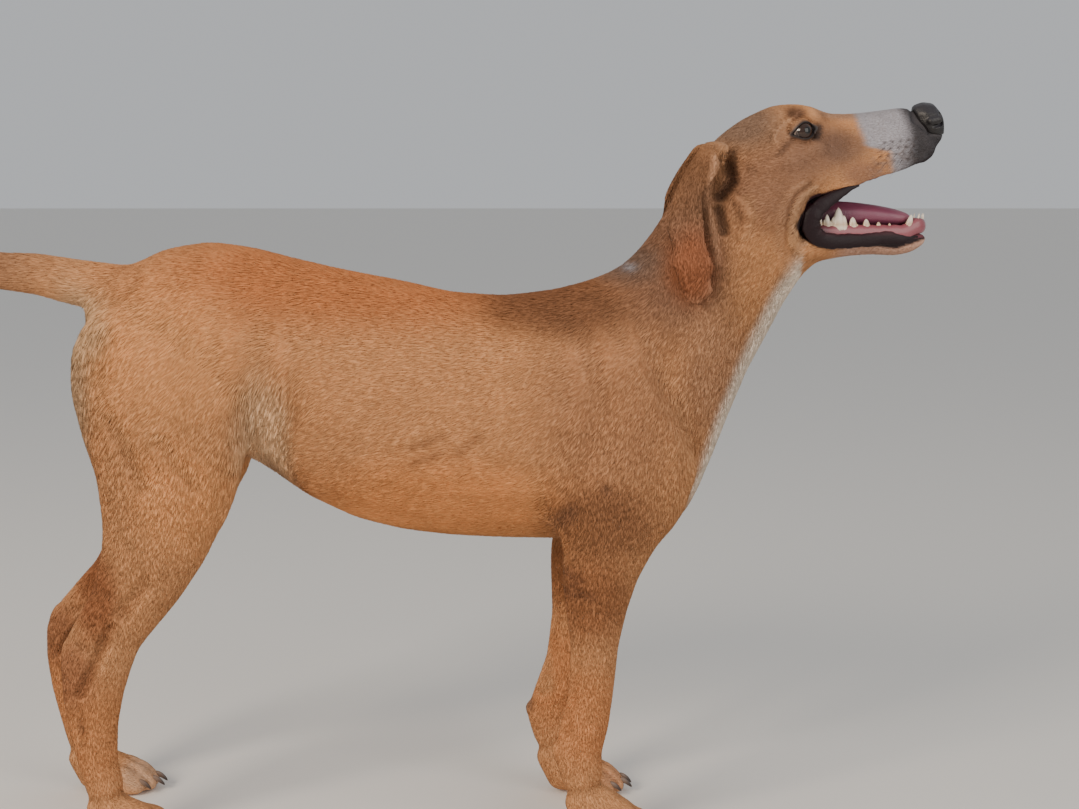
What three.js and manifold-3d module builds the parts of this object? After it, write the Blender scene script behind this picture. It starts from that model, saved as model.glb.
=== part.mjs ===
// A life-size model of a young, lean, short-coated tan dog. It stands with its head up and its mouth open.
// Millimetres, +Z up, +X towards the nose, +Y towards the dog's left side. The soles stand on z = 0.
//
// Flesh is lofted. A row of a loft is one cross-section: its upper (or front) edge point and its lower (or
// rear) edge point, each as x and z, then the half width across the body, the y of its middle, and how far up
// from the lower edge it is widest. The solids reach to the tips of the coat.
import * as THREE from "three";
import { mergeVertices } from "three/addons/utils/BufferGeometryUtils.js";
import Module from "manifold-3d";

const wasm = await Module();
wasm.setup();

// ---------- driving dimensions ----------
const PLUMB_X = 150.5; // rows measure x from a plumb line behind the shoulders, this far ahead of the origin
const GAP = 0.3; // clearance between neighbouring solids
const CHEST_END = -92; // x of the cut behind the ribs
const BELLY_END = -226; // x of the cut in front of the thighs
const TAIL_SPLIT = -470; // x of the cut between the two lengths of tail
const FORE_STEP = { back: -24, from: 320, to: 70 }; // the left fore leg leans back between these heights
const HIND_STEP = { back: -50, from: 420, to: 150 }; // and the left hind leg between these

// ---------- head and neck ----------
const HEAD = [
  [132, 573, 203, 472, 34, 0, 0.55],
  [148, 592, 216, 481, 42, 0, 0.56],
  [170, 608, 216, 493, 46.5, 0, 0.56],
  [194, 618.5, 216, 510, 47.5, 0, 0.56],
  [214, 619.5, 222, 534, 43, 0, 0.5],
  [232, 615.5, 244, 541, 35, 0, 0.42],
  [250, 610.5, 260, 543, 29, 0, 0.34],
  [270, 612, 277, 550, 25, 0, 0.27],
  [300, 616, 303, 559.5, 22, 0, 0.27],
  [318, 615, 321, 568, 18, 0, 0.34],
  [327, 609, 329, 574, 13.5, 0, 0.45],
];
const MOUTH = [
  [188, 540, 190, 516, 10, 0, 0.5],
  [206, 549, 207, 508, 18, 0, 0.6],
  [228, 556, 229, 500, 20, 0, 0.72],
  [262, 562, 263, 500, 18, 0, 0.78],
  [294, 570, 295, 500, 14, 0, 0.82],
  [312, 576, 313, 505, 10.5, 0, 0.85],
];
const NOSE = [
  [311, 617, 318, 594, 10, 0, 0.55],
  [319, 620, 323, 586, 14.5, 0, 0.58],
  [328, 619, 331, 582, 15, 0, 0.6],
  [334, 612, 336, 586, 11, 0, 0.6],
];
const JAW = [
  [204, 520, 214, 479, 33, 0, 0.5],
  [222, 514, 234, 486, 30.5, 0, 0.62],
  [242, 513, 248, 489, 27, 0, 0.7],
  [262, 514, 262, 491, 23.5, 0, 0.7],
  [281, 514, 280, 492, 20.5, 0, 0.7],
  [300, 513, 300, 491, 18, 0, 0.66],
  [315, 512.5, 314, 494, 15, 0, 0.6],
  [325, 511, 324, 501, 10, 0, 0.55],
];
const TONGUE = [
  [202, 531, 206, 511, 9, 0, 0.5],
  [220, 537, 222, 509, 12.5, 0, 0.5],
  [244, 539, 245, 512, 14, 0, 0.5],
  [264, 537.5, 264, 515, 14.5, 0, 0.5],
  [282, 535, 282, 516, 14, 0, 0.5],
  [297, 532, 297, 516.5, 12.5, 0, 0.5],
  [308, 528.5, 307, 518, 9.5, 0, 0.5],
];
const NECK = [
  [20, 459, 122, 268, 55, 0, 0.5],
  [44, 474, 146, 312, 57, 0, 0.52],
  [66, 483, 161, 352, 53, 0, 0.52],
  [81, 496, 178, 394, 49, 0, 0.52],
  [95, 514, 194, 424, 46, 0, 0.52],
  [108, 536, 208, 451, 44, 0, 0.52],
  [123, 561, 221, 471, 43, 0, 0.5],
  [140, 585, 235, 487, 41, 0, 0.5],
];
// Balls: x, y, z of the middle, then three radii. Each is on both sides.
const EYE = [214, 32.5, 594, 10, 10, 10];
const CHEEK = [184, 33, 538, 30, 17, 32];
const BROW = [222, 24, 606, 15, 10, 9];

// The right ear as a flap: rear edge x, y, z, front edge x, y, z and thickness, from the root to the tip.
const EAR = [
  [132, 26, 586, 160, 34, 584, 9],
  [120, 33, 568, 155, 46, 570, 9],
  [107, 38, 543, 136, 55, 545, 7],
  [100, 41, 515, 139, 57, 515, 6],
  [101, 45, 490, 148, 56, 487, 5.5],
  [109, 48, 467, 149, 54, 463, 5],
  [120, 49, 454, 137, 52, 452, 4],
];
const EAR_BOW = 7; // how far the flap's middle stands out from its edges

// Teeth: x, y, z of the root, height, radius and forward lean, the lower ones first. Each is on both sides.
const LOWER_TEETH = [
  [308, 12, 508, 20, 3.2, 0.1],
  [297, 13.5, 508, 9, 2.2, 0],
  [286, 15, 508, 11, 2.8, 0],
  [273, 17, 507, 17, 3.6, 0],
  [259, 19, 506, 19, 4.2, 0],
  [247, 20.5, 506, 25, 4.8, 0],
  [237, 21.5, 505, 20, 4, 0],
  [230, 22, 505, 18, 3.4, 0],
];
const UPPER_TEETH = [
  [307, 12.8, 572, -13, 3.2, 0.1],
  [292, 14.5, 566, -8, 2.6, 0],
  [278, 16, 562, -8, 3, 0],
  [262, 18, 557, -9, 4, 0],
];
const INCISORS = { count: 6, x: 321, z: 510, height: 14, r: 2, half: 8.5, curve: 5 };

// ---------- trunk and tail ----------
const TRUNK = [
  [-371, 466, -381, 420, 27, 0, 0.5],
  [-346, 484, -357, 386, 49, 0, 0.55],
  [-315, 499, -318, 352, 61, 0, 0.6],
  [-278, 505, -275, 330, 65, 0, 0.6],
  [-240, 500, -236, 312, 62, 0, 0.58],
  [-200, 490, -198, 285, 60, 0, 0.52],
  [-160, 481, -158, 266, 64, 0, 0.5],
  [-118, 473, -118, 256, 70, 0, 0.5],
  [-75, 463, -75, 251, 74, 0, 0.5],
  [-30, 460, -30, 249, 75, 0, 0.48],
  [12, 465, 15, 248, 72, 0, 0.47],
  [45, 474, 62, 246, 66, 0, 0.46],
  [66, 472, 98, 249, 57, 0, 0.46],
  [90, 454, 124, 268, 46, 0, 0.42],
  [116, 420, 140, 298, 31, 0, 0.4],
];
const TAIL = [
  [-322, 479, -345, 440, 22, 0, 0.5],
  [-350, 486, -364, 442, 19.5, 0, 0.5],
  [-380, 489.5, -390, 446, 17.8, 0, 0.5],
  [-424, 496, -427, 457, 16, 0, 0.5],
  [-468, 497, -468, 463, 15, 0, 0.5],
  [-520, 502, -517, 473.5, 13, 0, 0.5],
  [-573, 511.5, -568, 488, 10, 0, 0.5],
  [-618, 523, -612, 506, 7, 0, 0.5],
  [-636, 529, -632, 518, 4.5, 0, 0.5],
];

// ---------- legs ----------
const SHOULDER = [
  [58, 455, 20, 450, 10, 30, 0.5],
  [86, 418, 0, 408, 16, 49, 0.5],
  [112, 372, -10, 356, 23, 54, 0.5],
  [134, 322, -6, 304, 27, 55, 0.5],
  [125, 286, 8, 274, 26, 55, 0.5],
  [110, 264, 20, 254, 24, 56, 0.5],
];
const FOREARM = [
  [114, 274, 20, 264, 24, 56, 0.5],
  [98, 251, 16, 243, 21.5, 57, 0.5],
  [84, 226, 17, 223, 18.5, 57, 0.5],
  [75, 200, 20, 200, 16.5, 57, 0.5],
  [68, 170, 24, 170, 14.5, 57, 0.5],
  [64, 130, 23, 130, 13.5, 57, 0.5],
  [60, 100, 15, 97, 15, 57, 0.5],
  [54, 76, 10, 74, 14.5, 57, 0.5],
  [55, 58, 19, 47, 16.5, 57, 0.5],
];
const THIGH = [
  [-268, 440, -370, 452, 15, 44, 0.5],
  [-246, 398, -389, 420, 26, 46, 0.5],
  [-239, 357, -390, 384, 31, 48, 0.5],
  [-241, 323, -381, 347, 30, 51, 0.5],
  [-248, 298, -369, 312, 26, 54, 0.5],
  [-257, 272, -366, 283, 22.5, 56, 0.5],
];
const SHANK = [
  [-257, 275, -366, 287, 22, 56, 0.5],
  [-272, 244, -367, 252, 19, 58, 0.5],
  [-296, 210, -374, 217, 15, 60, 0.5],
  [-318, 183, -389, 193, 12, 61, 0.5],
  [-333, 165, -399, 173, 12, 61, 0.5],
];
const HOCK = [
  [-331, 168, -398, 177, 12, 61, 0.5],
  [-338, 151, -402, 155, 13, 62, 0.5],
  [-345, 130, -401, 127, 12, 62, 0.5],
  [-351, 103, -397, 97, 11.2, 62, 0.5],
  [-353, 72, -389, 66, 12, 62, 0.5],
  [-349, 50, -382, 42, 15, 62, 0.5],
];

// A foot is a palm and four toes side by side, with a claw on each. A toe's rows measure x from its tip and y
// from its own middle, and the outer toes are set back.
const FORE_FOOT = {
  y: 57,
  tip: 103,
  palm: [
    [40, 58, 20, 30, 14],
    [58, 48, 34, 2, 18.5],
    [80, 32, 68, -3, 19.5],
  ],
};
const HIND_FOOT = {
  y: 62,
  tip: -299,
  palm: [
    [-362, 50, -384, 28, 13],
    [-345, 40, -370, 1, 17],
    [-322, 30, -332, -3, 18.5],
  ],
};
const TOE = [
  [-31, 32, -28, -3, 8.6],
  [-15, 27.5, -15, -3, 9],
  [-5, 17, -5, -1, 7],
];
const TOES = [
  { y: -16.5, back: 10 },
  { y: -5.8, back: 0 },
  { y: 5.8, back: 0 },
  { y: 16.5, back: 10 },
];
const CLAW = { length: 13, r: 2.6, z: 11, back: 4, dip: 0.5 };

// ---------- colours ----------
const coat = (name, color, roughness = 0.85) =>
  new THREE.MeshStandardMaterial({ name, color, roughness, metalness: 0 });
const tan = coat("tan_coat", 0xb98353);
const paleTan = coat("pale_coat", 0xc9a27a);
const black = coat("nose_leather", 0x2b2628, 0.45);
const pink = coat("tongue", 0xa4566a, 0.4);
const brown = coat("eye", 0x2a1a12, 0.08);

// ---------- shapes ----------
const DOME = Math.SQRT1_2; // a dome's ring has this share of its section, and is this share of the bulge out
const ROUND = 1;
const BOXY = 0.62; // the power that squares off the lower half of a section
const spot = (x, y, z, side = 1) => new THREE.Vector3(x + PLUMB_X, y * side, z);

// A row as a frame: its edge points, its middle and its half width.
function frameOf([ux, uz, lx, lz, half, y = 0, widest = 0.5]) {
  const upper = spot(ux, y, uz);
  const lower = spot(lx, y, lz);
  return { upper, lower, half, middle: lower.clone().lerp(upper, widest) };
}

// One ring of points round a frame, scaled and pushed along for a dome.
function ringOf(frame, { around, side, grow, under }, scale = 1, along = new THREE.Vector3()) {
  const rim = frame.upper.clone().sub(frame.lower).normalize().multiplyScalar(grow);
  const up = frame.upper.clone().add(rim).sub(frame.middle);
  const down = frame.lower.clone().sub(rim).sub(frame.middle);
  return Array.from({ length: around }, (_, k) => {
    const angle = (2 * Math.PI * (k + 0.5)) / around;
    const power = Math.sin(angle) > 0 ? ROUND : under;
    const across = Math.sign(Math.cos(angle)) * Math.abs(Math.cos(angle)) ** power;
    const height = Math.abs(Math.sin(angle)) ** power;
    const p = frame.middle.clone().addScaledVector(Math.sin(angle) > 0 ? up : down, height * scale);
    p.y = (p.y + across * (frame.half + grow) * scale) * side;
    return p.add(along);
  });
}

// Joins rings of points into one closed geometry, with a point at each end.
function closeRings(rings, first, last) {
  const around = rings[0].length;
  const points = [first, ...rings.flat(), last];
  const end = points.length - 1;
  const at = (ring, k) => 1 + ring * around + (k % around);
  const faces = [];
  for (let k = 0; k < around; k++) {
    faces.push(0, at(0, k + 1), at(0, k));
    faces.push(end, at(rings.length - 1, k), at(rings.length - 1, k + 1));
    for (let r = 0; r + 1 < rings.length; r++) {
      faces.push(at(r, k), at(r, k + 1), at(r + 1, k));
      faces.push(at(r, k + 1), at(r + 1, k + 1), at(r + 1, k));
    }
  }
  const geometry = new THREE.BufferGeometry().setFromPoints(points);
  geometry.setIndex(faces);
  return geometry;
}

// A closed geometry as a solid. One that is inside out, as a mirrored loft is, is turned.
function solidOf(geometry) {
  const bare = new THREE.BufferGeometry().setAttribute("position", geometry.getAttribute("position"));
  const merged = mergeVertices(bare.setIndex(geometry.index), 1e-4);
  const vertProperties = merged.getAttribute("position").array;
  const triVerts = new Uint32Array(merged.index.array);
  const make = () => new wasm.Manifold(new wasm.Mesh({ numProp: 3, vertProperties, triVerts }));
  const made = make();
  if (made.volume() > 0) return made;
  for (let i = 0; i < triVerts.length; i += 3) {
    [triVerts[i], triVerts[i + 1]] = [triVerts[i + 1], triVerts[i]];
  }
  return make();
}

// A lofted solid with a dome of the given bulge at each end. side is -1 for the right of the body, lean moves
// a point forward by its height, and under is the power of the sections' lower halves.
function loft(rows, { around = 14, caps = [4, 4], grow = 0, side = 1, lean = () => 0, under = ROUND } = {}) {
  const leant = rows.map(([ux, uz, lx, lz, ...rest]) => [ux + lean(uz), uz, lx + lean(lz), lz, ...rest]);
  const frames = leant.map(frameOf);
  const ring = { around, side, grow, under };
  const last = frames.length - 1;
  const bulge = (from, to, reach) => {
    const way = to.middle.clone().sub(from.middle).normalize().multiplyScalar(reach + grow);
    way.y *= side;
    return way;
  };
  const start = bulge(frames[1], frames[0], caps[0]);
  const end = bulge(frames[last - 1], frames[last], caps[1]);
  const dome = (frame, way) => ringOf(frame, ring, DOME, way.clone().multiplyScalar(DOME));
  const tip = (frame, way) => ringOf(frame, { ...ring, around: 1 }, 0, way)[0];
  const rings = [dome(frames[0], start), ...frames.map((f) => ringOf(f, ring)), dome(frames[last], end)];
  return solidOf(closeRings(rings, tip(frames[0], start), tip(frames[last], end)));
}

// A flap such as an ear: flat oval sections between a rear and a front edge, bowed outwards.
function flap(rows, side, around = 8) {
  const sections = rows.map(([rx, ry, rz, fx, fy, fz, thick]) => {
    const rear = new THREE.Vector3(rx, ry, rz);
    const chord = new THREE.Vector3(fx, fy, fz).sub(rear);
    const out = new THREE.Vector3(-chord.y, chord.x, 0).normalize();
    return { middle: rear.addScaledVector(chord, 0.5), chord, out, thick };
  });
  const rings = sections.map(({ middle, chord, out, thick }) =>
    Array.from({ length: around }, (_, k) => {
      const angle = (2 * Math.PI * (k + 0.5)) / around;
      const share = Math.cos(angle);
      const lift = (Math.sin(angle) * thick) / 2 + EAR_BOW * (1 - share * share);
      const p = middle.clone().addScaledVector(chord, share / 2).addScaledVector(out, lift);
      return spot(p.x, p.y, p.z, side);
    }),
  );
  // The end points lie a fifth of a step beyond the first and last sections.
  const beyond = (from, to) => {
    const p = to.middle.clone().lerp(from.middle, -0.2).addScaledVector(to.out, EAR_BOW);
    return spot(p.x, p.y, p.z, side);
  };
  const count = sections.length;
  const first = beyond(sections[1], sections[0]);
  const last = beyond(sections[count - 2], sections[count - 1]);
  return solidOf(closeRings(rings, first, last));
}

function ball([x, y, z, rx, ry, rz], side, grow = 0, around = 12) {
  const geometry = new THREE.SphereGeometry(1, around, around / 2);
  geometry.scale(rx + grow, ry + grow, rz + grow).translate(x + PLUMB_X, y * side, z);
  return solidOf(geometry);
}

// A tapered spike from a root point, for a tooth or a claw.
function spike(root, direction, length, r) {
  const geometry = new THREE.ConeGeometry(r, length, 4).translate(0, length / 2, 0);
  const turn = new THREE.Quaternion().setFromUnitVectors(new THREE.Vector3(0, 1, 0), direction.normalize());
  geometry.applyQuaternion(turn).translate(root.x, root.y, root.z);
  return solidOf(geometry);
}

// A block much larger than the dog's section, to cut with: everything between two heights or two places on x.
function block(lowX, highX, lowZ, highZ) {
  const across = 400;
  const geometry = new THREE.BoxGeometry(highX - lowX, across, highZ - lowZ);
  return solidOf(geometry.translate((lowX + highX) / 2 + PLUMB_X, 0, (lowZ + highZ) / 2));
}

const REACH = 1000;
const behind = (x) => block(-REACH, x, -REACH, REACH);
const ahead = (x) => block(x, REACH, -REACH, REACH);
const join = (solids) => solids.reduce((a, b) => a.add(b));
const cut = (solid, ...cutters) => cutters.reduce((a, b) => a.subtract(b), solid);
const both = (make) => make(-1).add(make(1));

// ---------- the group ----------
const dog = new THREE.Group();
dog.name = "dog";

// Adds a solid as a named mesh, without crumbs that a cut may leave beside it.
function place(name, solid, material) {
  const body = solid.decompose().reduce((a, b) => (b.volume() > a.volume() ? b : a));
  const mesh = body.getMesh();
  const geometry = new THREE.BufferGeometry();
  geometry.setAttribute("position", new THREE.BufferAttribute(mesh.vertProperties, mesh.numProp));
  geometry.setIndex(new THREE.BufferAttribute(mesh.triVerts, 1));
  geometry.computeVertexNormals();
  const made = new THREE.Mesh(geometry, material);
  made.name = name;
  dog.add(made);
}

// ---------- head ----------
const skull = (grow) => {
  const main = loft(HEAD, { around: 14, caps: [4, 5], grow, under: BOXY });
  return join([main, both((side) => ball(CHEEK, side, grow, 8)), both((side) => ball(BROW, side, grow, 6))]);
};
const mouth = (grow) => loft(MOUTH, { around: 8, caps: [6, 3], grow });
const head = (grow) => cut(skull(grow), mouth(-grow));
const nose = (grow) => loft(NOSE, { around: 10, caps: [2, 3], grow });
const jaw = (grow) => loft(JAW, { around: 10, caps: [3, 4], grow });
const eye = (side, grow = 0) => ball(EYE, side, grow, 10);

function teeth(rows, side) {
  const inward = 0.06;
  const tooth = ([x, y, z, height, r, lean]) => {
    const way = new THREE.Vector3(lean, -side * inward, Math.sign(height));
    return spike(spot(x, y, z, side), way, Math.abs(height), r);
  };
  return join(rows.map(tooth));
}

// The front teeth stand on a shallow curve across the jaw.
function incisors({ count, x, z, height, r, half, curve }) {
  const shares = Array.from({ length: count }, (_, i) => (2 * i) / (count - 1) - 1);
  const tooth = (share) =>
    spike(spot(x - curve * share * share, share * half, z), new THREE.Vector3(0.25, 0, 1), height, r);
  return join(shares.map(tooth));
}

const upperTeeth = both((side) => teeth(UPPER_TEETH, side));
const lowerTeeth = both((side) => teeth(LOWER_TEETH, side)).add(incisors(INCISORS));
place("head", cut(head(0).add(upperTeeth), nose(GAP), both((side) => eye(side, GAP))), tan);
place("nose", nose(0), black);
place("lower_jaw", cut(jaw(0).add(lowerTeeth), head(GAP)), paleTan);
place("tongue", cut(loft(TONGUE, { around: 8, caps: [3, 6] }), jaw(GAP), lowerTeeth, head(GAP)), pink);

// ---------- legs ----------
// How far the left legs lean at a height, from nothing at the top of the step to all of it at the bottom.
function leanOf({ back, from, to }, power) {
  return (z) => back * Math.min(Math.max((from - z) / (from - to), 0), 1) ** power;
}
const upright = () => 0;

// A foot stands flat on the floor.
function foot({ y, tip, palm }, side, lean) {
  const shift = lean(0);
  const moved = (dx, dy) => ([ux, uz, lx, lz, half]) => [ux + dx, uz, lx + dx, lz, half, y + dy];
  const palmSolid = loft(palm.map(moved(shift, 0)), { around: 8, side, caps: [4, 6] });
  const toes = TOES.map((toe) => {
    const at = tip + shift - toe.back;
    const flesh = loft(TOE.map(moved(at, toe.y)), { around: 6, side, caps: [3, 5] });
    const root = spot(at - CLAW.back, y + toe.y, CLAW.z, side);
    return flesh.add(spike(root, new THREE.Vector3(1, 0, -CLAW.dip), CLAW.length, CLAW.r));
  });
  return cut(join([palmSolid, ...toes]), block(-REACH, REACH, -REACH, 0));
}

function legsOf(side, foreLean, hindLean) {
  const part = (rows, lean, around, caps) => (grow) => loft(rows, { side, lean, around, caps, grow });
  return {
    shoulder: part(SHOULDER, foreLean, 10, [5, 5]),
    forearm: part(FOREARM, foreLean, 10, [5, 7]),
    forePaw: foot(FORE_FOOT, side, foreLean),
    thigh: part(THIGH, hindLean, 12, [6, 5]),
    shank: part(SHANK, hindLean, 10, [4, 4]),
    hock: part(HOCK, hindLean, 10, [4, 7]),
    hindPaw: foot(HIND_FOOT, side, hindLean),
  };
}

const right = legsOf(-1, upright, upright);
const left = legsOf(1, leanOf(FORE_STEP, 1), leanOf(HIND_STEP, 2));
const legs = { R: right, L: left };
for (const [tag, leg] of Object.entries(legs)) {
  place(`shoulder_${tag}`, leg.shoulder(0), tan);
  place(`forearm_${tag}`, cut(leg.forearm(0), leg.shoulder(GAP)), tan);
  place(`fore_paw_${tag}`, cut(leg.forePaw, leg.forearm(GAP)), paleTan);
  place(`thigh_${tag}`, leg.thigh(0), tan);
  place(`shank_${tag}`, cut(leg.shank(0), leg.thigh(GAP), leg.hock(GAP)), tan);
  place(`hock_${tag}`, cut(leg.hock(0), leg.thigh(GAP)), tan);
  place(`hind_paw_${tag}`, cut(leg.hindPaw, leg.hock(GAP)), paleTan);
}

// ---------- neck, trunk and tail ----------
const ofBoth = (part) => right[part](GAP).add(left[part](GAP));
const trunk = (grow) => loft(TRUNK, { around: 18, caps: [8, 6], grow });
const neck = (grow) => loft(NECK, { around: 14, grow });
const barrel = cut(trunk(0), ofBoth("shoulder"), ofBoth("forearm"), ofBoth("thigh"));
const tail = cut(loft(TAIL, { around: 8, caps: [4, 5] }), trunk(GAP), ofBoth("thigh"));
place("neck", cut(neck(0), skull(GAP), jaw(GAP), trunk(GAP), ofBoth("shoulder")), tan);
place("chest", cut(barrel, behind(CHEST_END + GAP)), tan);
place("belly", cut(barrel, ahead(CHEST_END), behind(BELLY_END + GAP)), tan);
place("rump", cut(barrel, ahead(BELLY_END)), tan);
place("tail_base", cut(tail, behind(TAIL_SPLIT + GAP)), tan);
place("tail_tip", cut(tail, ahead(TAIL_SPLIT)), tan);

// ---------- eyes and ears ----------
for (const [tag, side] of [["R", -1], ["L", 1]]) {
  place(`eye_${tag}`, eye(side), brown);
  place(`ear_${tag}`, cut(flap(EAR, side), skull(GAP), neck(GAP)), tan);
}

export default dog;
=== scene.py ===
"""Looks for a life-size model of a young, lean, short-coated tan dog that stands with its mouth open.

Places on the dog are in millimetres: x from a plumb line behind its shoulders towards the nose, y towards
its left side and z up from the floor. A place with two numbers is x and z, seen from the side, and is on both
sides. The left legs lean back, so places on them are given as they would be on an upright leg.
"""
import math

import bpy
import numpy as np
import openvdb
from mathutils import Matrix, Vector


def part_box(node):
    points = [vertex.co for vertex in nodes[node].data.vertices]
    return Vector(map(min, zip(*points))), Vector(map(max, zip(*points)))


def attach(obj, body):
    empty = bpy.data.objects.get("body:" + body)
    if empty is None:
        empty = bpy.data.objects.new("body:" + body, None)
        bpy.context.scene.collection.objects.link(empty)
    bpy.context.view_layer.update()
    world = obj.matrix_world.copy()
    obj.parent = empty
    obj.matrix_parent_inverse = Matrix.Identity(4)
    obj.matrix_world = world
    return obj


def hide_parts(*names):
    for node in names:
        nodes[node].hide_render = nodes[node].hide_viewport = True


PLUMB_X = 150.5  # the plumb line is this far ahead of the frame's origin
MM = 0.001
STEP = 1.9  # size of a cell of the grid that the skin is made on
BAND = 18.0  # distances are known this far from a surface
SEAM = 0.9  # the frame's solids are thickened this much to close the gaps between them, and thinned again
SEED = 7

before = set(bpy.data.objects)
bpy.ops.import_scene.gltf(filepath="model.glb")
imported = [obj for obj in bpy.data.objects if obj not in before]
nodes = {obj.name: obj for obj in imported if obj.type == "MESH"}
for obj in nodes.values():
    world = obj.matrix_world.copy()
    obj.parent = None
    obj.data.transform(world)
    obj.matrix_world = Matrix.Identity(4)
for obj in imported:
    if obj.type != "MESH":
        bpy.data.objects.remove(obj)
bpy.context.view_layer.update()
random = np.random.default_rng(SEED)


# ---------- small tools ----------
def unit(vectors):
    return vectors / np.maximum(np.linalg.norm(vectors, axis=-1, keepdims=True), 1e-9)


def ramp(values, start, end):
    """0 before start, 1 after end, smooth in between."""
    share = np.clip((values - start) / (end - start), 0, 1)
    return share * share * (3 - 2 * share)


def mix(a, b, share):
    return a + (b - a) * share


def tinted(color, tone, share):
    """The colours of points mixed with a tone by each point's share."""
    return mix(color, tone, share[:, None])


def rgb(red, green, blue):
    """A screen colour of 0 to 255 as linear light."""
    screen = np.array([red, green, blue]) / 255
    return np.where(screen <= 0.04045, screen / 12.92, ((screen + 0.055) / 1.055) ** 2.4)


def between(values, start, full, fade, end):
    """0 before start, 1 from full to fade, 0 after end, smooth in between."""
    return ramp(values, start, full) * (1 - ramp(values, fade, end))


# ---------- grids of distances ----------
def mesh_of(node):
    """Corners in millimetres and triangles of a node of the frame."""
    mesh = nodes[node].data
    corners = np.empty(len(mesh.vertices) * 3, np.float32)
    mesh.vertices.foreach_get("co", corners)
    corners = corners.reshape(-1, 3) / MM
    corners[:, 0] -= PLUMB_X
    mesh.calc_loop_triangles()
    triangles = np.empty(len(mesh.loop_triangles) * 3, np.int32)
    mesh.loop_triangles.foreach_get("vertices", triangles)
    return corners, triangles.reshape(-1, 3).astype(np.uint32)


def box_of(node):
    """The lowest and the highest corner of a node's box, in millimetres."""
    return np.array(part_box(node)) / MM - [PLUMB_X, 0, 0]


BOXES = np.array([box_of(node) for node in nodes])
LOW, HIGH = BOXES[:, 0].min(0), BOXES[:, 1].max(0)  # of the whole dog


def level_set(corners, polygons, step):
    """The distances near a closed mesh of triangles or quads."""
    name = "triangles" if polygons.shape[1] == 3 else "quads"
    transform = openvdb.createLinearTransform(voxelSize=step)
    make = openvdb.FloatGrid.createLevelSetFromPolygons
    polygons = {name: polygons.astype(np.uint32)}
    return make(corners.astype(np.float32), transform=transform, halfWidth=BAND / step, **polygons)


class Grid:
    """Values at the cells of a regular grid, mostly distances from a surface, below nought inside it."""

    def __init__(self, low, high, step):
        self.step = step
        self.low = np.floor(np.array(low) / step).astype(int)
        size = np.ceil(np.array(high) / step).astype(int) - self.low + 1
        self.values = np.full(size, BAND, np.float32)

    def distances(self, corners, polygons, spikes=0.0):
        """The distances to a closed mesh in its own part of the grid, and that part's slices. Spikes of a
        lesser radius than the one given are left off."""
        found = level_set(corners, polygons, self.step)
        if spikes:
            found = level_set(*found.convertToQuads(-spikes), self.step)
        low, high = (np.array(corner) for corner in found.evalActiveVoxelBoundingBox())
        low = np.maximum(low, self.low)
        high = np.minimum(high, self.low + self.values.shape - 1)
        part = np.empty(high - low + 1, np.float32)
        found.copyToArray(part, ijk=tuple(int(i) for i in low))
        starts = low - self.low
        return part - spikes, tuple(slice(a, a + n) for a, n in zip(starts, part.shape))

    def cells(self, place=(slice(None),) * 3):
        """The x, y and z of the cells of a part, as three arrays that combine to its shape."""
        counts = [np.arange(count)[cut] for count, cut in zip(self.values.shape, place)]
        spans = [(count + low) * self.step for count, low in zip(counts, self.low)]
        return np.meshgrid(*spans, indexing="ij", sparse=True)

    def surface(self):
        """Points and quads of the surface where the value is nought."""
        reach = 3 * self.step
        made = openvdb.FloatGrid(reach)
        made.transform = openvdb.createLinearTransform(voxelSize=self.step)
        values = np.clip(self.values, -reach, reach)
        made.copyFromArray(values, ijk=tuple(int(i) for i in self.low), tolerance=0.0)
        points, quads = made.convertToQuads(0.0)
        return points.astype(float), quads.astype(int)

    def at(self, points):
        """Values at any points, between the cells."""
        place = np.clip(points / self.step - self.low, 0, np.array(self.values.shape) - 1.001)
        cell = place.astype(int)
        share = place - cell
        found = np.zeros(len(points))
        for corner in np.ndindex(2, 2, 2):
            weight = np.prod(np.where(corner, share, 1 - share), axis=1)
            found += weight * self.values[tuple((cell + corner).T)]
        return found

    def slope(self, points):
        """Unit vectors along which the values grow fastest."""
        slope = np.empty((len(points), 3))
        for axis in range(3):
            shift = np.zeros(3)
            shift[axis] = self.step
            slope[:, axis] = self.at(points + shift) - self.at(points - shift)
        return unit(slope)

    def onto(self, points, height=0.0):
        """The points moved to a height above the surface."""
        for _ in range(2):
            points = points - self.slope(points) * (self.at(points) - height)[:, None]
        return points


def blurred(values, width, step):
    """The values smoothed over a width in millimetres, by three running means along each axis."""
    half = int(round((width / step - 1) / 2))
    cells = 2 * half + 1
    for axis in range(3):
        for _ in range(3 if half else 0):
            pad = [(0, 0)] * 3
            pad[axis] = (half + 1, half)
            total = np.cumsum(np.pad(values, pad, mode="edge"), axis=axis, dtype=np.float32)
            ahead = [slice(None)] * 3
            behind = [slice(None)] * 3
            ahead[axis] = slice(cells, None)
            behind[axis] = slice(None, -cells)
            values = (total[tuple(ahead)] - total[tuple(behind)]) / cells
    return values


class Noise:
    """Smooth random values from -1 to 1 over the dog, with patches of about the given size."""

    def __init__(self, size):
        self.grid = Grid(LOW - 30, HIGH + 30, size)
        self.grid.values = random.uniform(-1, 1, self.grid.values.shape).astype(np.float32)

    def at(self, points):
        return self.grid.at(points)


def on_side(side, *places):
    """Places given for the left side, on the left (1) or the right (-1)."""
    return [np.multiply(place, (1, side, 1)) for place in places]


def bar(cells, start, end, radius):
    """The distance of each cell from a bar with round ends."""
    way = [b - a for a, b in zip(start, end)]
    off = [cell - a for cell, a in zip(cells, start)]
    share = np.clip(sum(o * w for o, w in zip(off, way)) / sum(w * w for w in way), 0, 1)
    return np.sqrt(sum((o - share * w) ** 2 for o, w in zip(off, way))) - radius


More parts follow.
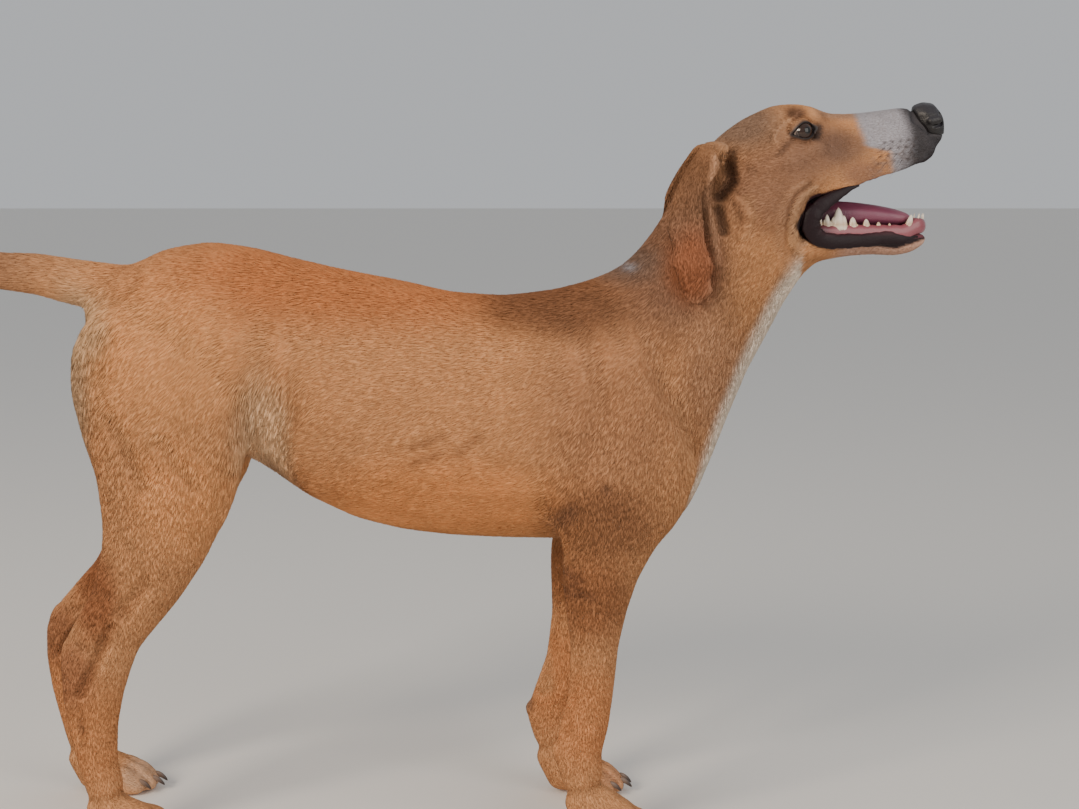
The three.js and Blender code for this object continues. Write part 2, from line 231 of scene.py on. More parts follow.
# ---------- the body's form ----------
# How softly each part's facets and folds are rounded off, as the width of a blur in millimetres.
SOFTNESS = {
    "chest": 14, "belly": 14, "rump": 14, "neck": 12, "shoulder": 12, "thigh": 12, "head": 12,
    "lower_jaw": 5, "nose": 4, "shank": 7, "forearm": 7, "hock": 6, "fore_paw": 3, "hind_paw": 3,
    "tail_base": 7, "tail_tip": 5,
}
# Teeth and claws, which are thinner than this radius, are left off the skin.
SPIKES = {"head": 3.6, "lower_jaw": 3.6, "fore_paw": 2.6, "hind_paw": 2.6}
SOFTNESS_ELSEWHERE = 10
SOFTNESS_BLUR = 9  # the softness itself changes over this far from part to part
CRISP, SOFT = 4, 14  # the widths of the two blurs that are mixed
FACE_X = (190, 225)  # the head turns from softly rounded to crisp between these
LEG_SOFT_Z = (200, 270)  # and the legs from firmly to softly rounded
EAR_THICKER = 0.8  # the ears are thicker than the frame's by this much on each face
EAR_GAP = 2.4  # at least this gap is cut between the ear flap and the neck
EAR_GAP_Z = (545, 572)  # the gap closes between these
EAR_BLEND = 4.0  # how widely the folds under the ear run into it
# The ear's root and the folds under it are made of bars side by side. These are some of them from the top
# down, each with its inner end, its outer end and its radius.
EAR_BASE = [
    (148, 20, 571, 137, 42, 572, 8.0), (137, 25, 536, 117, 46, 538, 4.0), (126, 30, 480, 124, 50, 482, 4.0),
]
EAR_BASE_BARS = 25


def part_of(node):
    """A node's name without its side."""
    return node[:-2] if node.endswith(("_R", "_L")) else node


FLESH = [node for node in nodes if part_of(node) in SOFTNESS or part_of(node) == "ear"]


def body_grid():
    """All the flesh of the frame as one smooth closed form, and the distance from its ears."""
    grid, ears = Grid(LOW - 10, HIGH + 10, STEP), Grid(LOW - 10, HIGH + 10, STEP)
    softness = np.full(grid.values.shape, SOFTNESS_ELSEWHERE, np.float32)
    for node in nodes:
        part_name = part_of(node)
        if part_name not in SOFTNESS:
            continue
        part, place = grid.distances(*mesh_of(node), SPIKES.get(part_name, 0))
        part -= SEAM
        nearer = part < grid.values[place]
        grid.values[place][nearer] = part[nearer]
        soft_here = SOFTNESS[part_name]
        if part_name == "head":
            soft_here = mix(soft_here, CRISP, ramp(grid.cells(place)[0], *FACE_X))
        if part_name in ("shank", "forearm"):
            soft_here = mix(soft_here, SOFT, ramp(grid.cells(place)[2], *LEG_SOFT_Z))
        softness[place][nearer] = np.broadcast_to(soft_here, part.shape)[nearer]
    softness = blurred(softness, SOFTNESS_BLUR, STEP)
    part, place = grid.distances(*grid.surface())
    grid.values[:] = BAND
    grid.values[place] = part + SEAM
    crisp = blurred(grid.values, CRISP, STEP)
    soft = blurred(grid.values, SOFT, STEP)
    grid.values += (crisp - grid.values) * np.clip(softness / CRISP, 0, 1)
    grid.values += (soft - grid.values) * np.clip((softness - CRISP) / (SOFT - CRISP), 0, 1)
    for node, side in (("ear_R", -1), ("ear_L", 1)):
        part, place = grid.distances(*mesh_of(node))
        ears.values[place] = np.minimum(ears.values[place], part)
        part = blurred(part, CRISP, STEP) - EAR_THICKER
        cells = grid.cells(place)
        gap = EAR_GAP * (1 - 2 * ramp(cells[2], *EAR_GAP_Z))
        whole = np.minimum(np.maximum(grid.values[place], gap - part), part)
        for row in spline(EAR_BASE, EAR_BASE_BARS):
            whole = smooth_min(whole, bar(cells, *on_side(side, row[:3], row[3:6]), row[6]), EAR_BLEND)
        grid.values[place] = whole
    return grid, ears


def normals_of(points, quads):
    """The normal at each point, the mean of those of the quads round it."""
    corner = points[quads]
    across = np.cross(corner[:, 2] - corner[:, 0], corner[:, 3] - corner[:, 1])
    normals = np.empty_like(points)
    for axis in range(3):
        weights = np.repeat(across[:, axis], quads.shape[1])
        normals[:, axis] = np.bincount(quads.ravel(), weights, len(points))
    return unit(normals)


# The left legs' lean, as in the part: how far back, and between which heights.
FORE_LEAN = {"back": -24, "top": 320, "low": 70, "power": 1}
HIND_LEAN = {"back": -50, "top": 420, "low": 150, "power": 2}
LEGS_MEET_X = -150


def upright(points):
    """The points as they would be if the left legs stood like the right ones."""
    straight = points.copy()
    for lean, here in ((FORE_LEAN, points[:, 0] > LEGS_MEET_X), (HIND_LEAN, points[:, 0] <= LEGS_MEET_X)):
        share = np.clip((lean["top"] - points[:, 2]) / (lean["top"] - lean["low"]), 0, 1) ** lean["power"]
        on_left = ramp(points[:, 1], 5, 25)
        straight[:, 0] -= lean["back"] * share * on_left * here
    straight[:, 1] = np.abs(straight[:, 1])
    return straight


def away_from(path, places):
    """How far each place is from a path. A path of pairs is seen from the side."""
    path = [np.array(step, float) for step in path]
    if len(path[0]) == 2:
        places = places[:, [0, 2]]
    if len(path) == 1:
        return np.linalg.norm(places - path[0], axis=1)
    nearest = np.full(len(places), np.inf)
    for start, end in zip(path, path[1:]):
        way = end - start
        share = np.clip((places - start) @ way / (way @ way), 0, 1)
        nearest = np.minimum(nearest, np.linalg.norm(places - start - share[:, None] * way, axis=1))
    return nearest


# Folds of skin behind the corner of the mouth.
FOLDS = [
    [(226, 549), (215, 541), (210, 530), (209, 516), (212, 505), (219, 496)],
    [(223, 552), (211, 544), (205, 532), (203, 518), (205, 504), (212, 493)],
    [(217, 553), (206, 546), (200, 533), (198, 518), (199, 503), (205, 490)],
]
# Muscle, bone and fold: a path, how wide it is and how far it stands out, or in where it is below nought.
STROKES = [
    # hind quarters
    ([(-355, 188), (-363, 170), (-372, 150), (-382, 132)], 8, -4.6),
    ([(-324, 225), (-339, 208), (-343, 200)], 10, -3.6),
    ([(-346, 359), (-334, 332), (-323, 309)], 13, -3.4),
    ([(-305, 342), (-293, 325), (-280, 309)], 12, -2.8),
    ([(-250, 425), (-254, 368), (-252, 330)], 14, 2.6),
    ([(-228, 440), (-226, 385), (-232, 345)], 17, -3.2),
    ([(-334, 477), (-360, 450)], 14, -3.0),
    ([(-262, 32, 488)], 24, 3.0),
    ([(-315, 400)], 48, 3.0),
    ([(-354, 430), (-360, 380), (-352, 330)], 13, -1.6),
    ([(-247, 300)], 18, 2.0),
    ([(-340, 250), (-352, 225)], 12, 1.4),
    ([(-398, 61, 168)], 11, 1.8),
    ([(-378, 172)], 9, -2.0),
    ([(-352, 166)], 9, 1.4),
    ([(-384, 122), (-380, 88)], 6, -1.3),
    # trunk
    ([(-205, 442)], 42, -3.0),
    ([(36, 425), (46, 397), (50, 369), (46, 340), (20, 308)], 16, -2.8),
    ([(76, 400), (76, 350), (64, 310)], 34, 2.4),
    ([(72, 436), (96, 380), (112, 340)], 11, 1.5),
    ([(128, 50, 318)], 24, 2.0),
    ([(206, 468), (176, 420), (154, 370), (138, 330)], 13, -2.2),
    ([(184, 520), (146, 450), (124, 400), (122, 350)], 26, 1.8),
    ([(12, 300), (4, 284)], 15, -2.5),
    # fore legs
    ([(20, 57, 260)], 15, 2.4),
    ([(34, 217), (31, 158), (27, 124), (22, 98)], 7, -2.0),
    ([(42, 98)], 14, 1.0),
    ([(12, 57, 80)], 9, 3.0),
    # face
    ([(176, 598)], 20, -2.0),
    ([(226, 581), (204, 573), (180, 569)], 12, 2.0),
    ([(217, 28, 611)], 14, 2.4),
    ([(238, 0, 614)], 14, -2.2),
    ([(226, 0, 621), (192, 0, 622), (170, 0, 612)], 8, -1.0),
    ([(236, 590), (250, 584)], 10, -1.4),
    ([(250, 591), (276, 593)], 14, -1.4),
    ([(306, 16, 586)], 12, 1.0),
    ([(290, 573), (308, 580)], 13, 1.4),
    ([(318, 573), (302, 564), (281, 557), (265, 551), (248, 546), (236, 544)], 7, 1.3),
    (FOLDS[0], 4.0, 0.8),
    (FOLDS[1], 3.6, -0.9),
    (FOLDS[2], 4.0, 0.6),
    # ear
    ([(150, 573), (157, 556), (148, 543)], 8, -4.0),
    ([(147, 530), (151, 514)], 7, -3.0),
    ([(143, 572), (137, 545), (141, 515), (147, 490)], 5, 1.3),
    ([(163, 539), (171, 527), (167, 511)], 6, 1.6),
]


# The grooves between the toes: back from the foot's tip, across from its middle, and up.
TOE_GROOVES = [
    [(-3, 0, 8), (-13, 0, 18), (-21, 0, 24), (-27, 0, 30)],
    [(-9, -11, 10), (-19, -11, 20), (-27, -11, 25)],
    [(-9, 11, 10), (-19, 11, 20), (-27, 11, 25)],
]
TOE_GROOVE = {"width": 4.5, "height": -2.2}


def toe_grooves():
    """The paths of the grooves of both kinds of feet, as places on an upright leg."""
    return [[(tip + back, middle + across, up) for back, across, up in path]
            for tip, middle, _ in FEET for path in TOE_GROOVES]


def sculpt(points, normals):
    """The points moved along their normals by the strokes."""
    strokes = STROKES + [(path, TOE_GROOVE["width"], TOE_GROOVE["height"]) for path in toe_grooves()]
    places = upright(points)
    facing = np.clip(np.abs(normals[:, 1]) * 1.6, 0, 1)
    lift = np.zeros(len(points))
    for path, width, height in strokes:
        share = np.clip(1 - (away_from(path, places) / width) ** 2, 0, 1) ** 2
        lift += height * share * (facing if len(path[0]) == 2 else 1)
    return points + normals * lift[:, None]


# ---------- the coat's lie ----------
# At x and z: the way the hair lies in degrees from straight back, down being above nought, then the length of
# a tuft and the depth of the coat.
LAY = np.array([
    (-330, 490, 15, 15, 1.8), (-250, 500, 8, 15, 1.8), (-150, 475, 8, 15, 1.7), (-50, 460, 8, 15, 1.7),
    (30, 465, 15, 15, 1.7), (-250, 430, 20, 14, 1.7), (-150, 400, 15, 14, 1.7), (-50, 400, 15, 14, 1.7),
    (15, 400, 30, 13, 1.5), (-180, 335, 25, 15, 1.7), (-100, 300, 14, 15, 1.7), (-30, 290, 12, 13, 1.5),
    (-120, 258, 5, 12, 1.4), (-30, 252, 5, 12, 1.4), (-226, 370, 70, 19, 1.9), (-224, 330, 75, 20, 1.9),
    (-300, 420, 45, 14, 1.5), (-280, 360, 60, 13, 1.4), (-335, 380, 55, 14, 1.5), (-300, 310, 75, 12, 1.3),
    (-375, 430, 80, 20, 2.0), (-385, 380, 85, 18, 1.9), (-320, 260, 80, 10, 1.1), (-350, 210, 75, 9, 0.9),
    (-370, 160, 80, 8, 0.8), (-375, 110, 90, 8, 0.8), (-370, 60, 95, 7, 0.7), (-340, 25, 160, 6, 0.6),
    (-310, 12, 165, 5, 0.4), (-400, 470, -2, 16, 1.5), (-500, 487, -8, 17, 1.4), (-600, 512, -12, 17, 1.3),
    (50, 430, 45, 13, 1.5), (70, 380, 60, 13, 1.4), (60, 330, 68, 13, 1.3), (60, 290, 80, 11, 1.1),
    (60, 240, 85, 9, 0.9), (45, 180, 88, 8, 0.8), (40, 120, 90, 7, 0.7), (35, 80, 92, 6, 0.7),
    (45, 50, 110, 6, 0.6), (75, 20, 155, 5, 0.5), (95, 12, 165, 5, 0.4), (90, 520, 55, 13, 1.3),
    (130, 470, 60, 13, 1.3), (170, 450, 65, 13, 1.3), (150, 400, 65, 13, 1.3), (110, 430, 55, 13, 1.3),
    (70, 460, 40, 13, 1.4), (195, 440, 75, 13, 1.3), (160, 370, 70, 13, 1.3), (140, 320, 75, 13, 1.2),
    (125, 280, 80, 12, 1.1), (235, 613, 0, 4, 0.4), (200, 618, 5, 6, 0.6), (165, 605, 35, 8, 0.8),
    (190, 560, 22, 7, 0.7), (200, 530, 30, 8, 0.8), (220, 575, 5, 5, 0.5), (280, 595, 8, 4, 0.4),
    (265, 568, 12, 4, 0.4), (310, 600, 10, 3, 0.3), (310, 497, 5, 4, 0.4), (250, 494, 5, 6, 0.6),
    (215, 490, 20, 9, 0.9), (190, 480, 45, 10, 1.0), (140, 580, 70, 8, 0.7), (125, 540, 85, 7, 0.6),
    (125, 500, 88, 6, 0.5), (128, 465, 90, 6, 0.4),
], float)
LAY_REACH = 10.0  # rows mix over about this far


def lay_at(places):
    """The hair's way in the side view, its length and the coat's depth at upright places."""
    gap = (places[:, None, 0] - LAY[None, :, 0]) ** 2 + (places[:, None, 2] - LAY[None, :, 1]) ** 2
    weight = 1 / (gap + LAY_REACH**2) ** 2
    weight /= weight.sum(1, keepdims=True)
    angle = np.radians(LAY[:, 2])
    way = np.stack([-np.cos(angle), np.zeros(len(LAY)), -np.sin(angle)], 1)
    return weight @ way, weight @ LAY[:, 3], weight @ LAY[:, 4]


def in_blocks(function, points, size=60000):
    """A function of many points, taken a block at a time to save memory."""
    found = [function(points[start:start + size]) for start in range(0, len(points), size)]
    if isinstance(found[0], tuple):
        return tuple(np.concatenate(columns) for columns in zip(*found))
    return np.concatenate(found)


# ---------- eyes ----------
EYE_SINK = 1.2  # the eyeballs sit this much deeper than the frame's, which reach out to the lids
GAZE = np.array([0.40, 0.90, 0.10])
EYE_TILT = np.array([0.96, 0, 0.27])  # from the rear corner of the eye to the front one
RIM = {"front": 11.6, "back": 9.6, "up": 6.2, "low": 5.6, "power": 1.55}
LID = 1.5  # thickness of the lids over the eyeball
# The creases over and under the lids: how far beyond the lids' edge, how wide and how deep.
LID_FOLD = (4.2, 1.1, 0.9)
LID_BAG = (4.0, 1.2, 0.5)
EYE_REACH = 26  # this far from the eye the skin is as it was
UNDER_EYE = 3.5  # the coarse skin is this deep under the eyeball
UNDER_LIDS = 0.35  # and this deep under the lids


class Eye:
    """A view into one eye: along the front, up, and out of the head, from the eyeball's middle."""

    def __init__(self, node, side):
        low, high = box_of(node)
        self.radius = (high[0] - low[0]) / 2
        self.out = unit(GAZE * [1, side, 1])
        self.middle = (low + high) / 2 - self.out * EYE_SINK
        self.front = unit(EYE_TILT - self.out * (EYE_TILT @ self.out))
        self.up = np.cross(self.out, self.front) * side
        self.up *= np.sign(self.up[2])

    def seen(self, points):
        """How far points are to the front, up and out."""
        return (points - self.middle) @ np.stack([self.front, self.up, self.out], 1)

    def place(self, front, up, out):
        parts = [np.asarray(share)[..., None] for share in (front, up, out)]
        return self.middle + parts[0] * self.front + parts[1] * self.up + parts[2] * self.out

    def rim(self, turn):
        """How far the lids' edge is from the middle, at an angle seen from outside."""
        along = np.cos(turn) / np.where(np.cos(turn) > 0, RIM["front"], RIM["back"])
        across = np.sin(turn) / np.where(np.sin(turn) > 0, RIM["up"], RIM["low"])
        return (np.abs(along) ** RIM["power"] + np.abs(across) ** RIM["power"]) ** (-1 / RIM["power"])

    def lids(self, front, up, skin):
        """The height of the lids over a place where the bare skin has a height, and how far outside the
        lids' edge that place is."""
        off = np.hypot(front, up)
        beyond = off - self.rim(np.arctan2(up, front))
        ball = np.sqrt(np.maximum(self.radius**2 - off**2, 0))
        shell = np.sqrt(np.maximum((self.radius + LID) ** 2 - off**2, 0))
        outer = smooth_max(shell, skin, 4.0)
        for (middle, width, depth), above in ((LID_FOLD, up), (LID_BAG, -up)):
            outer = outer - depth * np.exp(-(((beyond - middle) / width) ** 2)) * ramp(above, 0, 4)
        inner = np.maximum(ball + 0.05, skin - 0.9)
        return mix(inner, outer, ramp(beyond, -0.3, 1.1)), beyond

    def press_into(self, points):
        """Points of the skin round the eye, raised to the lids, and sunk under the eyeball inside them."""
        front, up, out = self.seen(points).T
        height, beyond = self.lids(front, up, out)
        near = (np.hypot(front, up) < EYE_REACH) & (out > -6)
        height = mix(np.minimum(height, out) - UNDER_EYE, height - UNDER_LIDS, ramp(beyond, 0.6, 2.2))
        moved = self.place(front, up, height)
        return np.where(near[:, None], moved, points)


def smooth_max(a, b, blend):
    """The greater of two heights, rounded where they are about equal."""
    share = np.clip(0.5 + 0.5 * (a - b) / blend, 0, 1)
    return mix(b, a, share) + blend * share * (1 - share)


def smooth_min(a, b, blend):
    return -smooth_max(-a, -b, blend)


EYES = [Eye("eye_R", -1), Eye("eye_L", 1)]


def sheet(points):
    """The triangles of a grid of points that closes on itself along its second axis."""
    rows, around = points.shape[:2]
    row, k = np.meshgrid(np.arange(rows - 1), np.arange(around), indexing="ij")
    a = row * around + k
    b = row * around + (k + 1) % around
    corners = np.stack([a, b, b + around, a, b + around, a + around], -1)
    return points.reshape(-1, 3), corners.reshape(-1, 3)


def joined(shapes):
    """Several shapes of points, triangles and colours as one."""
    counts = np.cumsum([0] + [len(shape[0]) for shape in shapes])
    points = np.concatenate([shape[0] for shape in shapes])
    triangles = np.concatenate([shape[1] + start for shape, start in zip(shapes, counts)])
    colors = np.concatenate([shape[2] for shape in shapes]) if len(shapes[0]) > 2 else None
    return points, triangles, colors


PUPIL, IRIS = 2.8, 6.9  # radii across the eye
CORNEA = {"rise": 1.3, "radius": 7.4}
EYEBALL_BACK = 1.5  # the eyeball is shown to this angle from its front, and bulges up to it
PUPIL_BLACK = rgb(10, 9, 10)
IRIS_BROWN = rgb(52, 34, 26)
IRIS_RING = rgb(24, 16, 14)
EYE_WHITE = rgb(120, 104, 96)
LID_RIM = rgb(30, 20, 20)
EYEBALL_ROWS = (0.5, 110, 48)  # the angles of its rings from the front, and how many there are
EYEBALL_AROUND = 72
LID_ROWS = [(-5, -0.6, 6), (-0.3, 1.5, 9), (2, 4, 7)]  # rings of points from inside the lids' edge outwards
LID_AROUND = 112
LID_SEARCH = (20, -4, -0.4)  # the skin is looked for along these heights over the eyeball's middle


def eyeball(eye):
    """The front of one eyeball, with its cornea, pupil and iris."""
    tilt = np.radians(np.linspace(*EYEBALL_ROWS))
    turn = np.linspace(0, 2 * np.pi, EYEBALL_AROUND, endpoint=False)
    tilt, turn = np.meshgrid(tilt, turn, indexing="ij")
    off = np.sin(tilt) * eye.radius
    cornea = CORNEA["rise"] * np.clip(1 - (off / CORNEA["radius"]) ** 2, 0, 1) * (tilt < EYEBALL_BACK)
    out = np.cos(tilt) * eye.radius + cornea
    points, triangles = sheet(eye.place(off * np.cos(turn), off * np.sin(turn), out))
    off, turn, tilt = off.ravel(), turn.ravel(), tilt.ravel()
    streaks = 0.5 + 0.5 * np.sin(turn * 23 + np.sin(turn * 7) * 2)
    white = np.clip(ramp(off, IRIS, IRIS + 0.8) + (tilt > EYEBALL_BACK), 0, 1)
    colors = tinted(IRIS_BROWN, IRIS_RING, 0.5 * streaks)
    colors = tinted(PUPIL_BLACK, colors, ramp(off, PUPIL - 0.3, PUPIL + 0.3))
    colors = tinted(colors, IRIS_RING, ramp(off, IRIS - 1.2, IRIS))
    return points, facing(points, triangles, eye.out), tinted(colors, EYE_WHITE, white)


def lids_of(eye, skin_grid):
    """The fine lids over the coarser skin, with their dark rims and the corner's membrane."""
    beyond = np.concatenate([np.linspace(*span) for span in LID_ROWS])
    turn = np.linspace(0, 2 * np.pi, LID_AROUND, endpoint=False)
    beyond, turn = np.meshgrid(beyond, turn, indexing="ij")
    off = np.maximum(eye.rim(turn) + beyond, 0.3)
    front, up = off * np.cos(turn), off * np.sin(turn)
    lowest, step = LID_SEARCH[1:]
    skin = np.full(front.shape, float(lowest))
    for out in np.arange(*LID_SEARCH):
        inside = skin_grid.at(eye.place(front, up, np.full(front.shape, out)).reshape(-1, 3)) < 0
        skin = np.where((skin == lowest) & inside.reshape(front.shape), out - step / 2, skin)
    height, _ = eye.lids(front, up, skin)
    height -= 1.4 * ramp(beyond, 2.2, 4)
    points, triangles = sheet(eye.place(front, up, height))
    beyond = beyond.ravel()
    colors = markings_and_painted_light(points, np.tile(eye.out, (len(points), 1)))[0]
    colors = tinted(colors, LID_RIM, 1 - 0.8 * ramp(beyond, 0.4, 3.6))
    return points, facing(points, triangles, eye.out), colors


def facing(points, triangles, way):
    """The triangles of an open sheet, turned so that they face a way on the whole."""
    a, b, c = (points[triangles[:, i]] for i in range(3))
    return triangles if np.cross(b - a, c - a).sum(0) @ way > 0 else triangles[:, ::-1]


def turned_out(points, triangles):
    """The triangles of a closed shape, turned so that they face outwards."""
    a, b, c = (points[triangles[:, i]] - points.mean(0) for i in range(3))
    return triangles if np.sum(a * np.cross(b, c)) > 0 else triangles[:, ::-1]


def tube(path, wide, tall, up=(0, 0, 1), around=16):
    """A closed tube along a path, with its half widths across and along up at each step."""
    path = np.asarray(path, float)
    way = unit(np.gradient(path, axis=0))
    across = unit(np.cross(way, np.asarray(up, float)))
    above = np.cross(across, way)
    turn = np.linspace(0, 2 * np.pi, around, endpoint=False)
    wide, tall = (np.broadcast_to(size, len(path))[:, None] for size in (wide, tall))
    to_side, to_top = (across * wide)[:, None], (above * tall)[:, None]
    rings = path[:, None] + to_side * np.cos(turn)[:, None] + to_top * np.sin(turn)[:, None]
    ends = [rings[:1] * 0.02 + path[0] * 0.98, rings[-1:] * 0.02 + path[-1] * 0.98]
    points, triangles = sheet(np.concatenate([ends[0], rings, ends[1]]))
    return points, turned_out(points, triangles)


def spline(rows, count):
    """More rows between the given ones, on a smooth curve through them."""
    rows = np.asarray(rows, float)
    at = np.linspace(0, len(rows) - 1, count)
    i = np.clip(at.astype(int), 0, len(rows) - 2)
    t = (at - i)[:, None]
    padded = np.concatenate([2 * rows[:1] - rows[1:2], rows, 2 * rows[-1:] - rows[-2:-1]])
    before, start, end, after = (padded[i + k] for k in range(4))
    straight = end - before
    bend = 2 * before - 5 * start + 4 * end - after
    twist = 3 * start - before - 3 * end + after
    return start + 0.5 * (straight * t + bend * t**2 + twist * t**3)


# ---------- nose ----------
NOSTRIL = [((333.5, 8.5, 609), (332.5, 10, 602.5), 2.9), ((332, 9, 605.5), (324, 6, 604.5), 2.8)]
NOSE_SLIT = [((333, 10.5, 600.5), (325, 15.5, 598.8), 1.2), ((325, 15.5, 598.8), (315, 15.5, 600.5), 0.9)]
NOSE_GROOVE = ((341, 0, 605), (338, 0, 588), 0.9)
NOSE_WING = ((331, 12, 605), (324, 13.5, 603.5))
NOSE_WING_RADIUS = 3.0
NOSE_SINK = 3.0  # the skin lies this deep under the nose leather
NOSE_SOLE = 592.5  # the nose leather ends here above the front lip
NOSE_SOLE_X = 321  # and behind this its lower edge rises
# The leather covers the skin ahead of and over these, and in front of a line through x and z with this slope.
NOSE_AHEAD, NOSE_OVER, NOSE_BACK = (306, 310), (592, 594), (307, 604, 0.75)
# the nose leather's colour, and a lighter one for its top that is painted sheen
NOSE_COLOR_AND_PAINTED_SHEEN = (rgb(22, 19, 21), rgb(48, 45, 50))  # below and on top


def nose_leather():
    """The bare nose with its nostrils, made smooth from the frame's."""
    low, high = box_of("nose")
    grid = Grid(low - 4, high + 4, 0.6)
    part, place = grid.distances(*mesh_of("nose"))
    grid.values[place] = part
    grid.values = blurred(grid.values, 3.6, grid.step)
    cells = grid.cells()
    sole = NOSE_SOLE + np.clip(NOSE_SOLE_X - cells[0], 0, 12) * 0.75
    grid.values = smooth_max(grid.values, sole - cells[2], 2.0)
    for side in (-1, 1):
        for start, end, radius in NOSTRIL + NOSE_SLIT:
            hole = bar(cells, *on_side(side, start, end), radius)
            grid.values = smooth_max(grid.values, -hole, 1.0)
        wing = bar(cells, *on_side(side, *NOSE_WING), NOSE_WING_RADIUS)
        grid.values = smooth_min(grid.values, wing, 1.6)
    grid.values = smooth_max(grid.values, -bar(cells, *NOSE_GROOVE), 1.0)
    points, quads = grid.surface()
    # lighter where the leather faces up: painted sheen
    return points, quads, tinted(*NOSE_COLOR_AND_PAINTED_SHEEN, ramp(normals_of(points, quads)[:, 2], -0.2, 1))


# ---------- mouth ----------
# x, height of the tip, width and height along the jaw of each lower side tooth, from the back forwards, and
# the heights of its side cusps as shares.
SIDE_TEETH = [
    (231.5, 528.0, 6.5, (0.6, 0.7)), (239.0, 527.0, 8.0, (0.7, 0.6)), (248.5, 532.5, 13.5, (0.62, 0.66)),
    (260.8, 524.6, 10.0, (0.45, 0.5)), (272.4, 523.0, 9.0, (0.4, 0.5)), (283.0, 520.5, 7.0, (0.4, 0.4)),
    (292.5, 519.5, 5.0, (0.4, 0.4)),
]
JAW_ARCH = [(222, 21.5), (240, 21), (260, 18.6), (280, 15.6), (298, 12.8), (311, 10.2), (319, 6.6), (322, 0)]
GUM_TOP = 518.5
GUM_FRONT_RISE = 5.5  # how much higher the lower gum is at the front teeth
GUM_SIZES = ((3.6, 6.4), (3.4, 4.5))  # half widths across and half heights, of the lower gum and the upper
ROOF_RISE = 0.23  # how steeply the upper gum rises towards the nose
ROOF_AT = (222, 556.0)
# The upper side teeth are the lower ones again, this much further forward and out, with their roots and tips
# this far over the upper gum, and of this share of the size.
UPPER_SIDE = {"forward": 4, "out": 1.2, "root": 3, "tip": -8, "size": 0.95}
SIDE_ROOT = 5  # the lower side teeth are rooted this deep in the gum
LOWER_CANINE = ((306.5, 512), (312.5, 526.5))  # x and z of its root and of its tip
UPPER_CANINE = ((303.5, 578), (302.5, 565))
CANINE_RADIUS = 4.0
CANINE_BEND = 2.0
FORWARD = (1, 0, 0)
# The front teeth stand on a curve. The heights of their roots and tips, and their half widths.
FRONT_TEETH = {
    "x": 321.5, "across": (1.6, 4.8, 8.0), "curve": 0.09,
    "lower": (513, 527.5, 1.3, 1.8), "upper": (583, 573.5, 1.1, 1.6),
}
TOOTH_WHITE = rgb(226, 214, 196)
TOOTH_ROOT = rgb(196, 170, 140)
GUM_PINK = rgb(138, 76, 84)
# the dark of the gums and of the mouth's inside towards the back: partly dark pigment and partly painted
# shade
GUM_DARK = rgb(62, 34, 40)


def arch_y(x):
    """How far the teeth stand from the middle."""
    arch = np.array(JAW_ARCH[:-1])
    return np.interp(x, arch[:, 0], arch[:, 1])


def roof_z(x):
    """The height of the upper gum."""
    return ROOF_AT[1] + (np.asarray(x) - ROOF_AT[0]) * ROOF_RISE


def cusp(root, tip, long, thick, bend=0.0, steps=9):
    """One point of a tooth: a cone with a round tip, long along the jaw and thick across it."""
    root, tip, along = (np.array(v, float) for v in (root, tip, FORWARD))
    share = np.linspace(0, 1, steps)
    path = root + (tip - root) * share[:, None] + along * (bend * share**2)[:, None]
    size = np.sqrt(np.clip(1 - share**1.6, 0, 1)) * (1 - 0.25 * share) + 0.02
    return tube(path, thick * size, long * size, up=along, around=12)


def side_tooth(x, y, root_z, tip_z, width, cusps, side):
    """A tooth with a high point between two lower ones, whose sizes are shares of its width."""
    y = y * side
    shapes = [cusp((x, y, root_z), (x - 0.6, y, tip_z), width * 0.44, width * 0.26)]
    for way, share in zip((-1, 1), cusps):
        at = x + way * width * 0.3
        shapes.append(cusp((at, y, root_z), (at, y, mix(root_z, tip_z, share)), width * 0.3, width * 0.22))
    return shapes


def all_teeth():
    """The side teeth, the canines and the front teeth of both jaws."""
    shapes = []
    for side in (-1, 1):
        for x, tip, width, cusps in SIDE_TEETH:
            shapes += side_tooth(x, arch_y(x), GUM_TOP - SIDE_ROOT, tip, width, cusps, side)
            x += UPPER_SIDE["forward"]
            y, gum = arch_y(x) + UPPER_SIDE["out"], roof_z(x)
            root, tip = gum + UPPER_SIDE["root"], gum + UPPER_SIDE["tip"]
            shapes += side_tooth(x, y, root, tip, width * UPPER_SIDE["size"], cusps, side)
        for root, tip in (LOWER_CANINE, UPPER_CANINE):
            y = arch_y(root[0]) * side
            start, end = (root[0], y, root[1]), (tip[0], y * 1.06, tip[1])
            shapes.append(cusp(start, end, CANINE_RADIUS, CANINE_RADIUS * 0.75, bend=-CANINE_BEND, steps=14))
        for across in np.multiply(FRONT_TEETH["across"], side):
            x = FRONT_TEETH["x"] - FRONT_TEETH["curve"] * across**2
            root, tip, *size = FRONT_TEETH["lower"]
            shapes.append(cusp((x, across, root), (x + 1.8, across, tip), *size))
            root, tip, *size = FRONT_TEETH["upper"]
            shapes.append(cusp((x - 3, across * 1.05, root), (x - 2, across * 1.05, tip), *size))
    points, triangles, _ = joined(shapes)
    to_lower, to_upper = np.abs(points[:, 2] - GUM_TOP), np.abs(points[:, 2] - roof_z(points[:, 0]))
    clean = ramp(np.minimum(to_lower, to_upper), 0, 4)
    return points, triangles, tinted(TOOTH_ROOT, TOOTH_WHITE, clean)


